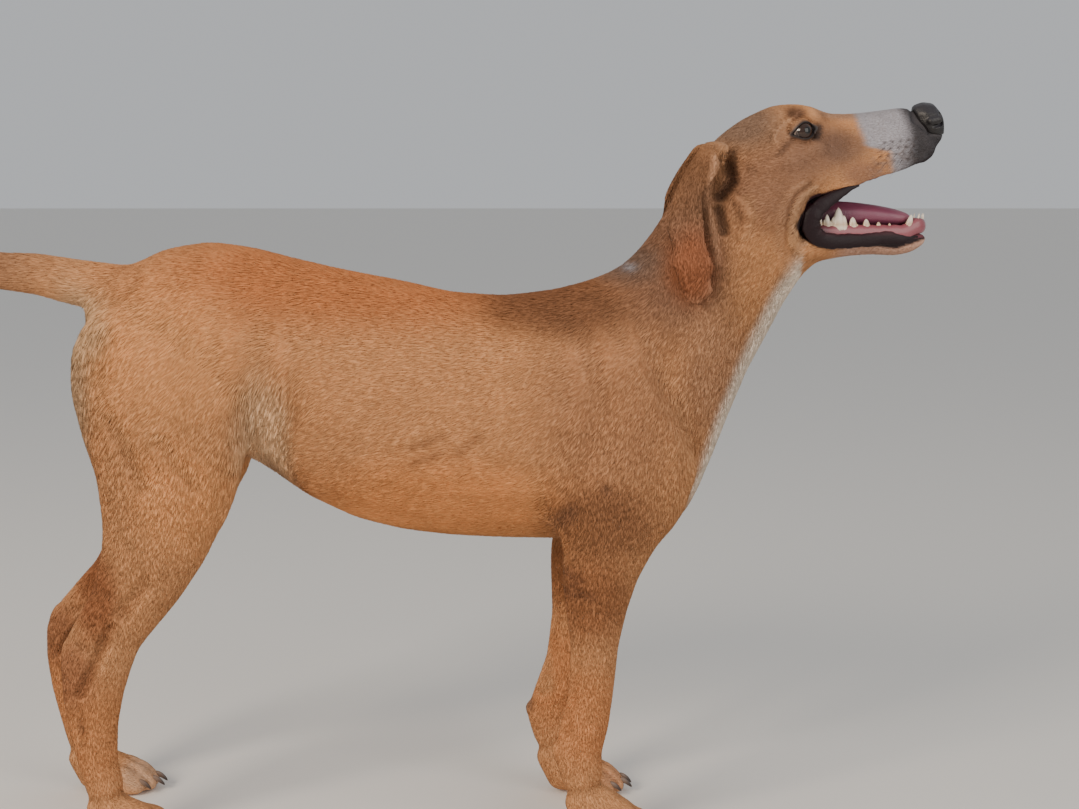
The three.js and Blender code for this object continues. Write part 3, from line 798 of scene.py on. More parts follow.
def all_gums():
    """A gum round each jaw, under the teeth, a little scalloped between them."""
    half = spline(JAW_ARCH, 70)
    around = np.concatenate([half, half[-2::-1] * [1, -1]])
    scallop = 0.6 * np.sin(around[:, 0] * 0.62)
    fade = ramp(around[:, 0], 222, 234)
    front = GUM_FRONT_RISE * ramp(around[:, 0], 303, 318)
    lower = np.column_stack([around, GUM_TOP - 7.0 + front])
    back = 1.5 + 6 * ramp(around[:, 0], 296, 320)
    upper = np.column_stack([around[:, 0] - back, around[:, 1] * 1.05, roof_z(around[:, 0]) + 3])
    (low_wide, low_tall), (top_wide, top_tall) = GUM_SIZES
    points, triangles, _ = joined([
        tube(lower, low_wide, low_tall * (0.5 + 0.5 * fade) + scallop * 0.5),
        tube(upper, top_wide, top_tall + scallop * 0.5),
    ])
    # darker towards the back of the mouth: partly dark pigment and partly painted shade
    dark = 1 - ramp(points[:, 0], 224, 250)
    return points, triangles, tinted(GUM_PINK, GUM_DARK, 0.7 * dark)


# The bare dark lip rolled out round the corner of the mouth: x, y and z of its middle, then its half width.
LIP_ROLL = [
    (264, 24.5, 550.5, 0.6), (256, 26.5, 548, 2.2), (247, 29.5, 543.5, 4.0), (238, 31.5, 538.5, 5.6),
    (229.5, 33, 532, 6.4), (224, 33.5, 524, 7.4), (224.5, 32, 514.5, 7.6), (231, 29.5, 507.5, 7.0),
    (242, 26.5, 504.8, 6.4), (256, 23, 504.8, 6.0), (272, 20.2, 505.5, 5.6), (288, 17.6, 507.2, 5.8),
    (300, 15.2, 506.2, 4.6), (310, 12.4, 507, 2.6), (317, 9.8, 508, 0.8),
]
LIP_THICK = 0.34  # as a share of its half width


def all_lips():
    """The rolled out lips of both sides, a little lumpy."""
    rows = spline(LIP_ROLL, 90)
    step = np.arange(len(rows))
    size = rows[:, 3] * (1 + 0.05 * np.sin(step * 0.9) + 0.04 * np.sin(step * 2.1))
    shapes = []
    for side in (-1, 1):
        path = rows[:, :3] * [1, side, 1]
        shapes.append(tube(path, size, size * LIP_THICK, up=(0, side, 0), around=20))
    points, triangles, _ = joined(shapes)
    x, _, z = points.T
    red = ramp(x, 226, 246) * ramp(z, 508, 512) * (z < 520)
    return points, triangles, tinted(LIP, LIP_RED, 0.6 * red)


TONGUE_PINK = rgb(112, 60, 80)
TONGUE_TIP = rgb(146, 82, 96)
TONGUE_EDGE = rgb(116, 58, 78)
# the back of the tongue, deep in the mouth: painted shade
TONGUE_ROOT = rgb(70, 36, 46)
TONGUE_GROOVE = {"width": 4.5, "depth": 1.8}


def tongue_form():
    """The tongue, made smooth from the frame's and grooved along its middle."""
    low, high = box_of("tongue")
    grid = Grid(low - 6, high + 6, 1.0)
    part, place = grid.distances(*mesh_of("tongue"))
    grid.values[place] = part
    grid.values = blurred(grid.values, 5, grid.step) - 0.4
    points, quads = grid.surface()
    up = normals_of(points, quads)[:, 2]
    share = np.clip(1 - (points[:, 1] / TONGUE_GROOVE["width"]) ** 2, 0, 1) ** 2
    points[:, 2] -= TONGUE_GROOVE["depth"] * share * ramp(up, 0.2, 0.7)
    pale = ramp(points[:, 0], high[0] - 22, high[0])
    edge = ramp(np.abs(points[:, 1]), 8, 13)
    colors = tinted(TONGUE_PINK, TONGUE_TIP, 0.6 * pale)
    colors = tinted(colors, TONGUE_EDGE, 0.5 * edge * (1 - pale))
    # darker towards the back of the tongue: painted shade
    return points, quads, tinted(TONGUE_ROOT, colors, ramp(points[:, 0], 228, 262))


# ---------- claws and whiskers ----------
# Feet: the tip of the middle toes, the foot's middle across, and how far a left one stands back.
FEET = [(103, 57, FORE_LEAN["back"]), (-299, 62, HIND_LEAN["back"])]
TOES = [(-16.5, 10), (-5.8, 0), (5.8, 0), (16.5, 10)]  # across the foot, and back from its tip
CLAW = {"back": 5, "z": 12.5, "length": 10.5, "drop": 7.0, "tall": 2.6, "thick": 1.9}
CLAW_COLORS = (rgb(120, 98, 84), rgb(58, 46, 42))


def all_claws():
    """Four bent claws on each foot."""
    shapes = []
    share = np.linspace(0, 1, 12)
    size = np.sqrt(np.clip(1 - share**2, 0, 1)) * (1 - 0.2 * share) + 0.03
    for tip, across, back in FEET:
        for side in (-1, 1):
            for y, behind in TOES:
                x = tip - behind - CLAW["back"] + (back if side > 0 else 0)
                path = np.column_stack([
                    x + CLAW["length"] * share, np.full(12, (across + y) * side),
                    CLAW["z"] - CLAW["drop"] * share**1.8,
                ])
                points, triangles = tube(path, CLAW["thick"] * size, CLAW["tall"] * size, around=14)
                color = tinted(*CLAW_COLORS, ramp(points[:, 0] - x, 2, 9))
                shapes.append((points, triangles, color))
    return joined(shapes)


WHISKERS = {
    "rows": 4, "in_row": 5, "first": (311, 589), "along": (-6.2, -0.8), "down": (-2.0, -5.4),
    "root": 0.17, "length": (12, 24), "droop": (-6, 0, -4),
}


def whisker_places():
    """The x and z of the root of each whisker, and how far back it is in its row and how far down that is."""
    for row, k in np.ndindex(WHISKERS["rows"], WHISKERS["in_row"]):
        back, down = np.multiply(WHISKERS["along"], k), np.multiply(WHISKERS["down"], row)
        yield *(WHISKERS["first"] + back + down), k, row


def all_whiskers(skin_grid):
    """Thin bent hairs on both sides of the muzzle."""
    shapes = []
    share = np.linspace(0, 1, 9)
    thick = WHISKERS["root"] * (1 - 0.85 * share)
    for side in (-1, 1):
        for x, z, k, row in whisker_places():
            root = skin_grid.onto(np.array([[x, 20.0 * side, z]]), -0.5)[0]
            way = unit(np.array([-0.35 - 0.1 * k, side * random.uniform(0.6, 0.9), -0.35 - 0.12 * row]))
            path = root + way * (random.uniform(*WHISKERS["length"]) * share)[:, None]
            path += np.array(WHISKERS["droop"]) * (share**2)[:, None]
            shapes.append(tube(path, thick, thick, around=5))
    points, triangles, _ = joined(shapes)
    return points, triangles, np.tile(WHISKER_BROWN, (len(points), 1))


# ---------- markings and painted light ---
SPECKLE, PATCHY, STREAKY = Noise(1.6), Noise(14), Noise(5)
TAN = rgb(198, 143, 98)
# Soft patches of colour over the tan, some of them painted highlight or partly painted shade, in turn: x, z,
# half length, half height, colour and strength.
PATCHES = [
    (-120, 480, 260, 60, rgb(182, 112, 64), 0.8),
    (-80, 285, 150, 60, rgb(212, 142, 84), 0.7),
    # painted highlight: paler over the bulge of the thigh
    (-300, 415, 75, 75, rgb(222, 160, 106), 0.65),
    (-225, 350, 30, 60, rgb(224, 186, 146), 0.8),
    (-388, 395, 30, 95, rgb(176, 148, 118), 0.75),
    (-370, 440, 30, 34, rgb(188, 156, 120), 0.6),
    (-500, 488, 130, 60, rgb(152, 110, 80), 0.9),
    (-290, 300, 50, 60, rgb(230, 164, 108), 0.75),
    # partly the shank's own darker colour and partly painted shade
    (-366, 215, 26, 50, rgb(136, 78, 46), 0.75),
    (-370, 100, 60, 60, rgb(196, 130, 80), 0.6),
    # partly the hock's own darker colour and partly painted shade
    (-390, 150, 30, 40, rgb(140, 88, 60), 0.65),
    (60, 380, 80, 110, rgb(180, 130, 94), 0.75),
    (20, 455, 85, 34, rgb(112, 74, 50), 0.8),
    # partly the elbow's own darker colour and partly painted shade
    (50, 280, 60, 44, rgb(128, 84, 56), 0.7),
    (40, 215, 50, 50, rgb(143, 90, 56), 0.75),
    (40, 110, 50, 60, rgb(200, 132, 82), 0.7),
    (115, 490, 60, 80, rgb(124, 91, 74), 0.8),
    (150, 400, 40, 70, rgb(186, 140, 108), 0.6),
    (72, 492, 38, 26, rgb(118, 98, 86), 0.8),
    # these three, on the cheek, the face and the top of the skull, are partly the head's own browns and
    # partly painted shade
    (190, 550, 50, 50, rgb(130, 95, 75), 0.8),
    (228, 580, 42, 32, rgb(127, 94, 75), 0.8),
    (165, 605, 50, 32, rgb(125, 103, 88), 0.85),
    (130, 556, 32, 44, rgb(106, 72, 50), 0.8),
    (126, 488, 28, 40, rgb(152, 88, 54), 0.7),
    (252, 582, 30, 18, rgb(110, 84, 70), 0.7),
    # a darker spot over the eye, partly its own colour and partly painted shade under the brow
    (212, 609, 11, 8, rgb(88, 60, 46), 0.85),
    # painted highlight: paler along the top of the muzzle
    (252, 611, 30, 9, rgb(152, 126, 110), 0.7),
    (270, 560, 26, 14, rgb(134, 98, 80), 0.7),
]
# Fine marks, many of them painted shade and painted highlights along folds and grooves: a path, its half
# width, colour and strength.
MARKS_AND_PAINTED_LIGHT = [
    ([(229, 597), (227.5, 590)], 5, rgb(54, 40, 36), 0.95),
    ([(207, 588), (201, 582), (197, 577)], 3, rgb(84, 58, 44), 0.7),
    # painted shadow: two dark strips in the ear's opening, between its front fold and the cheek
    ([(157, 571), (160, 556), (149, 543)], 6, rgb(74, 48, 36), 0.7),
    ([(148, 531), (152, 516)], 6, rgb(70, 46, 36), 0.65),
    # painted highlight: paler along the raised front fold and the inner fold of the ear
    ([(143, 574), (138, 545), (142, 515), (147, 492)], 4, rgb(196, 148, 114), 0.6),
    ([(171, 540), (176, 527), (172, 511)], 5, rgb(196, 146, 106), 0.5),
    # painted highlight on the two raised folds behind the mouth's corner, and painted shade in the crease
    # between them
    (FOLDS[0], 4, rgb(190, 150, 114), 0.45),
    (FOLDS[1], 2.5, rgb(116, 78, 56), 0.4),
    (FOLDS[2], 4, rgb(176, 134, 102), 0.35),
    # painted shade in the crease at the elbow and in the fold of the groin
    ([(25, 290), (19, 282)], 9, rgb(92, 62, 46), 0.55),
    ([(-228, 322), (-222, 314)], 8, rgb(116, 80, 58), 0.5),
    # painted shade along the furrows of the hind legs
    ([(-355, 188), (-363, 170), (-372, 150), (-382, 132)], 4, rgb(132, 84, 56), 0.25),
    ([(-324, 225), (-339, 208), (-343, 200)], 5, rgb(140, 90, 60), 0.25),
    ([(-346, 359), (-334, 332), (-323, 309)], 7, rgb(150, 100, 68), 0.2),
    ([(-305, 342), (-293, 325), (-280, 309)], 6, rgb(156, 106, 72), 0.2),
]
# Dirt and marks on one side only: the side, then as above.
SIDE_MARKS = [
    ("R", [(-99, 339), (-86, 344), (-73, 350)], 4.5, rgb(120, 78, 52), 0.55),
    ("R", [(-97, 325), (-76, 335)], 4.5, rgb(116, 74, 50), 0.6),
    ("R", [(-61, 335), (-44, 350)], 4.5, rgb(118, 76, 50), 0.6),
    ("R", [(56, 312), (56, 309)], 5, rgb(98, 66, 50), 0.7),
    ("R", [(20, 240), (34, 232), (24, 222), (44, 218)], 6, rgb(104, 66, 46), 0.6),
    ("R", [(-382, 108), (-381, 103)], 4, rgb(96, 60, 44), 0.7),
    ("L", [(20, 132), (26, 104)], 10, rgb(196, 156, 114), 0.5),
    ("L", [(8, 96), (12, 84)], 7, rgb(86, 68, 60), 0.8),
    ("L", [(-318, 20), (-296, 14)], 16, rgb(206, 180, 156), 0.6),
    ("L", [(88, 16), (104, 12)], 12, rgb(204, 150, 120), 0.5),
]
WHITE = rgb(238, 226, 210)
MUZZLE_GREY = rgb(156, 158, 168)
MUZZLE_FLECK = rgb(132, 116, 110)
MUZZLE_DARK = rgb(34, 29, 30)
CHIN_PINK = rgb(196, 160, 146)
EYE_RIM = rgb(40, 28, 27)
TOE_SHADE = rgb(126, 88, 64)
WHISKER_BROWN = rgb(60, 48, 44)
LIP = rgb(30, 17, 21)
LIP_RED = rgb(74, 38, 44)
# Where one colour turns into another, as a height and the x between which it turns.
CHEST_EDGE = [(300, 112, 132), (350, 132, 152), (382, 144, 162), (442, 166, 184), (480, 190, 206)]
CHEST_Z = (270, 310, 490, 520)  # its white begins, is whole, begins to fade and ends at these
CHEST_END_X = 222
CHEST_SIDE_Y = (16, 32)  # and it fades between these to the side
MUZZLE_EDGE = [(555, 292, 301), (578, 287, 296), (583, 264, 273), (609, 260, 269)]
MUZZLE_FRONT = [(570, 293, 315), (595, 299, 313), (612, 296, 307)]
MUZZLE_Z = (545, 552)  # the muzzle's grey begins between these heights
MUZZLE_DARK_Z = 556  # and its dark front is over this one
FLECKS = {"x": (268, 284), "z": (540, 586), "fade": 8}  # the grey's flecks begin at x, between these heights
CHIN = {"x": (240, 262), "z": (470, 516)}
NAPE_SPOT = {"middle": (80, 486), "half": (7, 5)}
EYE_RIM_FADE = (0.8, 2.6)  # the eye's dark rim fades between these beyond the lids' edge
EYE_HAIR = (1.0, 2.0)  # and the hair begins between these
EYE_DEPTH = -4  # only places over this height from the eyeball's middle belong to its rim
# The lips, as x and z: the upper one's edge, the lower one's top and the lower edge of its dark band.
UPPER_LIP = [
    (213, 520), (216, 527), (225, 536), (236, 541), (248, 543), (265, 548), (281, 553), (302, 561),
    (326, 574),
]
LOWER_LIP = [(213, 512), (222, 513), (240, 513), (325, 512)]
ROOF_HALF = [(225, 31), (260, 24.5), (300, 18), (316, 13)]  # half width of the mouth's roof, at x
MOUTH_X = (207, 213, 331, 334)  # its colours begin, are whole, begin to fade and end at these
CORNER_X = (226, 232)  # and the corner of the lips ends between these
UPPER_BAND = {"half": (3.5, 1.6), "x": (262, 285)}  # half width of the upper lip's band, behind and ahead
INNER_X = {"start": 205, "roof": 316, "cheek": 300}  # the mouth's inside begins, and its parts end at these
LIP_FOOT = [(212, 514), (216, 509), (223, 503), (233, 499), (245, 498), (270, 501), (299, 498), (324, 506)]


def beyond_edge(x, z, edge):
    """How far each place has turned into the colour ahead of an edge."""
    heights, starts, ends = zip(*edge)
    return ramp(x, np.interp(z, heights, starts), np.interp(z, heights, ends))


def height_on(line, x):
    """The second number of a line of places at each x."""
    return np.interp(x, [place[0] for place in line], [place[1] for place in line])


def mouth_shares(places, normals):
    """How far each place is lip, and how far it is the inside of the mouth."""
    x, y, z = places.T
    here = between(x, *MOUTH_X)
    upper, lower = height_on(UPPER_LIP, x), height_on(LOWER_LIP, x)
    foot = height_on(LIP_FOOT, x)
    band = mix(*UPPER_BAND["half"], ramp(x, *UPPER_BAND["x"]))
    on_upper = (z > lower + 4) * (1 - ramp(z, upper + band - 1, upper + band + 1))
    on_lower = ramp(z, foot - 1, foot + 1) * (z < lower + 9)
    corner = (1 - ramp(x, *CORNER_X)) * between(z, foot - 1, foot + 1, upper + 2, upper + 4)
    down = (normals[:, 2] < -0.3) & (z > upper - 4) & (z < upper + 30)
    roof = down & (y < height_on(ROOF_HALF, x)) & (x < INNER_X["roof"])
    cheek = (normals[:, 1] < -0.15) & (z > lower - 8) & (z < upper + 24) & (x < INNER_X["cheek"])
    jaw = (normals[:, 2] > 0.5) & (np.abs(z - lower) < 5) & (y < 20)
    inner = (roof | cheek | jaw) & (x > INNER_X["start"])
    lip = here * np.clip(np.maximum(np.maximum(on_upper, on_lower), corner), 0, 1)
    return lip, inner * here


def markings_and_painted_light(points, normals):
    """The coat's colour at each point, in linear light: its markings, with painted shade and painted
    highlights in places, and how far the skin there is bare of hair.
    """
    places = upright(points)
    color = np.tile(TAN, (len(points), 1))
    for x, z, half_x, half_z, patch, strength in PATCHES:
        off = np.hypot((places[:, 0] - x) / half_x, (places[:, 2] - z) / half_z)
        color = tinted(color, patch, strength * (1 - ramp(off, 0.35, 1.1)))
    x, y, z = places.T
    chest = beyond_edge(x, z, CHEST_EDGE) * between(z, *CHEST_Z) * (x < CHEST_END_X)
    color = tinted(color, WHITE, 0.85 * chest * (1 - ramp(y, *CHEST_SIDE_Y)))
    speck = SPECKLE.at(points)
    muzzle = beyond_edge(x - 3 * PATCHY.at(points), z, MUZZLE_EDGE) * ramp(z, *MUZZLE_Z)
    color = tinted(color, MUZZLE_GREY, 0.92 * muzzle)
    low, high = FLECKS["z"]
    flecked = ramp(high - z, 0, FLECKS["fade"]) * ramp(x, *FLECKS["x"]) * (z > low) * ramp(speck, -0.2, 0.5)
    color = tinted(color, MUZZLE_FLECK, 0.6 * flecked)
    color = tinted(color, MUZZLE_DARK, 0.9 * beyond_edge(x, z, MUZZLE_FRONT) * (z > MUZZLE_DARK_Z))
    low, high = CHIN["z"]
    chin = ramp(x, *CHIN["x"]) * (z < high) * (z > low)
    color = tinted(color, CHIN_PINK, 0.7 * chin)
    # fine marks, with painted shade and painted highlights along folds and grooves, and painted shade in the
    # grooves between the toes
    for path, width, mark, strength in MARKS_AND_PAINTED_LIGHT + [(path, 2.5, TOE_SHADE, 0.4) for path in toe_grooves()]:
        share = 1 - ramp(away_from(path, places), width * 0.2, width * 1.4)
        color = tinted(color, mark, strength * share)
    for side, path, width, mark, strength in SIDE_MARKS:
        share = 1 - ramp(away_from(path, places), width * 0.4, width * 1.3)
        share = share * ((points[:, 1] < 0) == (side == "R"))
        color = tinted(color, mark, strength * share * (0.7 + 0.3 * speck))
    for whisker_x, whisker_z, _, _ in whisker_places():
        dot = 1 - ramp(np.hypot(x - whisker_x, z - whisker_z), 0.5, 2.0)
        color = tinted(color, WHISKER_BROWN, 0.75 * dot)
    (spot_x, spot_z), (half_x, half_z) = NAPE_SPOT["middle"], NAPE_SPOT["half"]
    nape = 1 - ramp(np.hypot((x - spot_x) / half_x, (z - spot_z) / half_z), 0.2, 1.2)
    color = tinted(color, MUZZLE_GREY, 0.6 * nape)
    lip, inner = mouth_shares(places, normals * np.where(points < 0, [1, -1, 1], 1))
    color = tinted(color, LIP, lip)
    # the inside of the mouth, darker at the back: partly dark pigment and partly painted shade
    deep = tinted(GUM_DARK, GUM_PINK, 0.6 * ramp(x, 228, 250))
    color = tinted(color, deep, inner)
    bare = np.maximum.reduce([lip, inner, nose_share(places)])
    for eye in EYES:
        ahead, up, out = eye.seen(points).T
        beyond = np.hypot(ahead, up) - eye.rim(np.arctan2(up, ahead))
        outside = out > EYE_DEPTH
        color = tinted(color, EYE_RIM, 0.95 * outside * (1 - ramp(beyond, *EYE_RIM_FADE)))
        bare = np.maximum(bare, outside * (1 - ramp(beyond, *EYE_HAIR)))
    tone = 1 + 0.05 * PATCHY.at(points) + 0.05 * STREAKY.at(points)
    return color * tone[:, None], bare


def nose_share(places):
    """Where the nose leather covers the skin."""
    x, _, z = places.T
    back_x, back_z, slope = NOSE_BACK
    return ramp(x, *NOSE_AHEAD) * ramp(z, *NOSE_OVER) * (z > back_z - (x - back_x) * slope)


# ---------- pieces ----------
# on the skin and the coat these colours hold painted shade and painted highlights as well as markings
MARKINGS_AND_PAINTED_LIGHT = "markings_and_painted_light"  # the name of the colours of a mesh


def linked(name, data):
    """An object of the scene for a mesh, a lamp or a camera."""
    thing = bpy.data.objects.new(name, data)
    bpy.context.scene.collection.objects.link(thing)
    return thing


def add_piece(name, points, polygons, material, colors):
    """A mesh object from points in millimetres. It rides on the frame's one body."""
    mesh = bpy.data.meshes.new(name)
    places = (np.asarray(points, float) + [PLUMB_X, 0, 0]) * MM
    polygons = np.asarray(polygons)
    count, sides = polygons.shape
    mesh.vertices.add(len(places))
    mesh.vertices.foreach_set("co", places.astype(np.float32).ravel())
    mesh.loops.add(count * sides)
    mesh.loops.foreach_set("vertex_index", polygons.astype(np.int32).ravel())
    mesh.polygons.add(count)
    mesh.polygons.foreach_set("loop_start", np.arange(0, count * sides, sides, dtype=np.int32))
    mesh.polygons.foreach_set("use_smooth", np.full(count, True))
    mesh.update(calc_edges=True)
    mesh.materials.append(material)
    layer = mesh.attributes.new(MARKINGS_AND_PAINTED_LIGHT, "FLOAT_COLOR", "POINT")
    opaque = np.column_stack([colors, np.ones(len(colors))])
    layer.data.foreach_set("color", opaque.astype(np.float32).ravel())
    piece = linked(name, mesh)
    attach(piece, "root")
    return piece


def new_material(name, color, roughness):
    """A material, its nodes and its shader."""
    material = bpy.data.materials.new(name)
    material.use_nodes = True
    shader = material.node_tree.nodes["Principled BSDF"]
    shader.inputs["Base Color"].default_value = (*color, 1)
    shader.inputs["Roughness"].default_value = roughness
    return material, material.node_tree, shader


# Bare parts are pebbled and hair is streaky: grains to a metre, their detail, how uneven they make the colour
# and how strongly they are raised.
BARE = {"grain": 900, "detail": 2, "uneven": 0.15, "raised": 0.5}
HAIR = {"grain": 600, "detail": 3, "uneven": 0.12, "raised": 0.6}


def grained_material(name, kind, roughness, shine=0.5, relief=0.0):
    """A material in the colours of its mesh, varied by a fine grain. The relief is in metres."""
    material, tree, shader = new_material(name, TAN, roughness)
    shader.inputs["Specular IOR Level"].default_value = shine
    read = tree.nodes.new("ShaderNodeAttribute")
    read.attribute_name = MARKINGS_AND_PAINTED_LIGHT
    where = tree.nodes.new("ShaderNodeTexCoord")
    noise = tree.nodes.new("ShaderNodeTexNoise")
    noise.inputs["Scale"].default_value = kind["grain"]
    noise.inputs["Detail"].default_value = kind["detail"]
    tree.links.new(where.outputs["Object"], noise.inputs["Vector"])
    tone = tree.nodes.new("ShaderNodeMapRange")
    tone.inputs["To Min"].default_value = 1 - kind["uneven"]
    tone.inputs["To Max"].default_value = 1 + kind["uneven"]
    tree.links.new(noise.outputs["Fac"], tone.inputs["Value"])
    vary = tree.nodes.new("ShaderNodeVectorMath")
    vary.operation = "SCALE"
    tree.links.new(read.outputs["Color"], vary.inputs[0])
    tree.links.new(tone.outputs["Result"], vary.inputs["Scale"])
    tree.links.new(vary.outputs["Vector"], shader.inputs["Base Color"])
    if not relief:
        return material
    heights = noise.outputs["Fac"]
    if kind is BARE:
        pebbles = tree.nodes.new("ShaderNodeTexVoronoi")
        pebbles.inputs["Scale"].default_value = kind["grain"]
        tree.links.new(where.outputs["Object"], pebbles.inputs["Vector"])
        heights = pebbles.outputs["Distance"]
    bump = tree.nodes.new("ShaderNodeBump")
    bump.inputs["Distance"].default_value = relief
    bump.inputs["Strength"].default_value = kind["raised"]
    tree.links.new(heights, bump.inputs["Height"])
    tree.links.new(bump.outputs["Normal"], shader.inputs["Normal"])
    return material


def add_whole(name, shape, material, replaced=()):
    """A piece in the material given, which may stand for nodes of the frame."""
    points, polygons, colors = shape
    piece = add_piece(name, points, polygons, material, colors)
    if replaced:
        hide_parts(*replaced)


def grid_round(points, quads):
    """The distances from the skin, to lay other things on it."""
    grid = Grid(points.min(0) - 6, points.max(0) + 6, STEP)
    part, place = grid.distances(points, quads)
    grid.values[place] = part
    return grid


# ---------- coat ----------
TUFT = {
    "length": 0.85, "height": 0.95,  # shares of those in the table of the hair's lie
    "cover": (1.5, 3.0),  # layers of tufts on the short coat and on the long
    "short_to_long": (4, 10),  # the lengths of tufts that count as short and as long
    "width": 0.45, "widen": 0.07,  # width of a tuft's root, and the share of the length added to it
    "reach": 1.2,  # its tip is no further from its root than this share of its length
    "crest": 0.35,  # a tuft is thickest this far along
    "ridge": (0.10, 0.18),  # its crest stands this share of its width up, on the short coat and on the long
    "sunk": 0.3,  # how deep the root sits in the skin
    "swirl": 12.0,  # how far the hair strays together, in degrees
    "stray": 5.0,  # and each tuft by itself
    "lengths": (0.75, 1.25), "widths": (0.8, 1.25), "depths": (0.75, 1.2),  # how much they vary, as shares
    "corners": np.array([(0, 1, 2), (0, 2, 3), (1, 3, 2), (0, 3, 1)]),  # of its triangles
    "shade": np.array([0.94, 0.94, 0.98, 1.05]),  # darker at the root than at the tip
}
SOLE_TOP = 4.0  # below this the soles are bare
SWIRL = Noise(26)
LEG_TOP = 262  # the fore legs' coat ends here
TAIL_X = -394  # and the tail's here
RUMP_X, FLANK_X, SHOULDER_X = -215, -30, 85  # the coats of the rump, the flank and the shoulder end here
HIND_TOP = 300  # the hind legs' coat ends here
FORE_X = -20  # the fore legs' coat is ahead of this
HEAD_X, HEAD_Z = 150, 545  # the head's coat is over this height, or ahead of this x and past the face's line
FACE_LINE = (165, 520, 0.55)  # a place on the face's line, as x and z, and its slope
EAR_DEPTH = 2.2  # the coat this near to the frame's ears is theirs
OFBAKE = "OFBake"
OFBAKE_PATCH = 0.003  # the size of a tuft's patch on the unwrap
# Each region of the coat: what it is called, and the axis and radius it is unwrapped round. Sides are apart.
REGIONS = {
    "tail": ((TAIL_X, 0, 476), (-640, 0, 520), 22),
    "rump": ((-400, 30, 400), (-200, 30, 400), 60),
    "flank": ((-215, 0, 370), (-30, 0, 370), 90),
    "shoulder": ((-30, 0, 370), (110, 0, 380), 90),
    "neck": ((110, 0, 420), (175, 0, 530), 60),
    "head": ((150, 0, 560), (330, 0, 575), 30),
    "ear": ((140, 34, 590), (125, 36, 450), 14),
    "fore_leg": ((40, 57, LEG_TOP), (40, 57, 0), 16),
    "hind_leg": ((-350, 62, 300), (-350, 62, 0), 18),
}


def regions_of(places, ear_gap):
    """The number of each place's region."""
    x, z = places[:, 0], places[:, 2]
    names = list(REGIONS)
    face_x, face_z, slope = FACE_LINE
    face = (x - face_x) * slope + (z - face_z) > 0
    tests = [
        (ear_gap < EAR_DEPTH, "ear"), (x < TAIL_X, "tail"), ((x < LEGS_MEET_X) & (z < HIND_TOP), "hind_leg"),
        ((x > FORE_X) & (z < LEG_TOP), "fore_leg"), (x < RUMP_X, "rump"), (x < FLANK_X, "flank"),
        (x < SHOULDER_X, "shoulder"), ((x > HEAD_X) & face, "head"), (z > HEAD_Z, "head"),
    ]
    found = np.full(len(places), names.index("neck"))
    for test, name in reversed(tests):
        found[test] = names.index(name)
    return found


def unwrapped(places, normals, start, end, radius):
    """Places on the skin laid out round an axis, as shares of a square. Faces across it open outwards."""
    start, end = np.array(start, float), np.array(end, float)
    way = unit(end - start)
    side = unit(np.cross(way, (0, 1, 0)))
    off = places - start
    out = np.hypot(off @ side, off[:, 1])
    along = off @ way + (normals @ way) * (radius - out)
    flat = np.stack([along, np.arctan2(off[:, 1], off @ side)], 1)
    low, high = flat.min(0), flat.max(0)
    return 0.01 + 0.98 * (flat - low) / (high - low)


def scattered(points, quads, density, values):
    """The values at random places on the skin, as close together as the density asks."""
    corner = points[quads]
    area = np.linalg.norm(np.cross(corner[:, 2] - corner[:, 0], corner[:, 3] - corner[:, 1]), axis=1) / 2
    wanted = area * density[quads].mean(1)
    count = np.floor(wanted + random.random(len(wanted))).astype(int)
    quad = np.repeat(np.arange(len(quads)), count)
    s, t = random.random((2, len(quad)))
    weight = np.stack([(1 - s) * (1 - t), s * (1 - t), s * t, (1 - s) * t], 1)
    return [np.einsum("nk,nkc->nc", weight, value[quads[quad]]) for value in values]


def widths_of(lengths):
    """How wide tufts of these lengths are at the root."""
    return TUFT["width"] + TUFT["widen"] * lengths


def short_or_long(pair, lengths):
    """A value between those for the short coat and for the long."""
    return mix(*pair, ramp(lengths, *TUFT["short_to_long"]))


def tuft_points(roots, normals, ways, lengths, depths, skin):
    """Four points for each tuft: its root's two sides, its crest and its tip."""
    ways = unit(ways - normals * np.sum(ways * normals, 1)[:, None])
    turn = TUFT["swirl"] * SWIRL.at(roots) + random.normal(0, TUFT["stray"], len(roots))
    turn = np.radians(turn)[:, None]
    ways = unit(ways * np.cos(turn) + np.cross(normals, ways) * np.sin(turn))
    lengths = lengths * random.uniform(*TUFT["lengths"], len(roots))
    width = widths_of(lengths) * random.uniform(*TUFT["widths"], len(roots))
    half = np.cross(normals, ways) * width[:, None] / 2
    low = roots - normals * TUFT["sunk"]
    height = depths * random.uniform(*TUFT["depths"], len(roots))
    tip = skin.onto(roots + ways * lengths[:, None], height)
    reach = np.linalg.norm(tip - roots, axis=1)
    tip = mix(roots, tip, np.minimum(1, TUFT["reach"] * lengths / reach)[:, None])
    chord = mix(low, tip, TUFT["crest"])
    laid = skin.onto(chord, depths * TUFT["crest"])
    rise = np.maximum(np.sum((laid - chord) * normals, 1), 0) + short_or_long(TUFT["ridge"], lengths) * width
    return np.stack([low + half, low - half, chord + normals * rise[:, None], tip], 1)


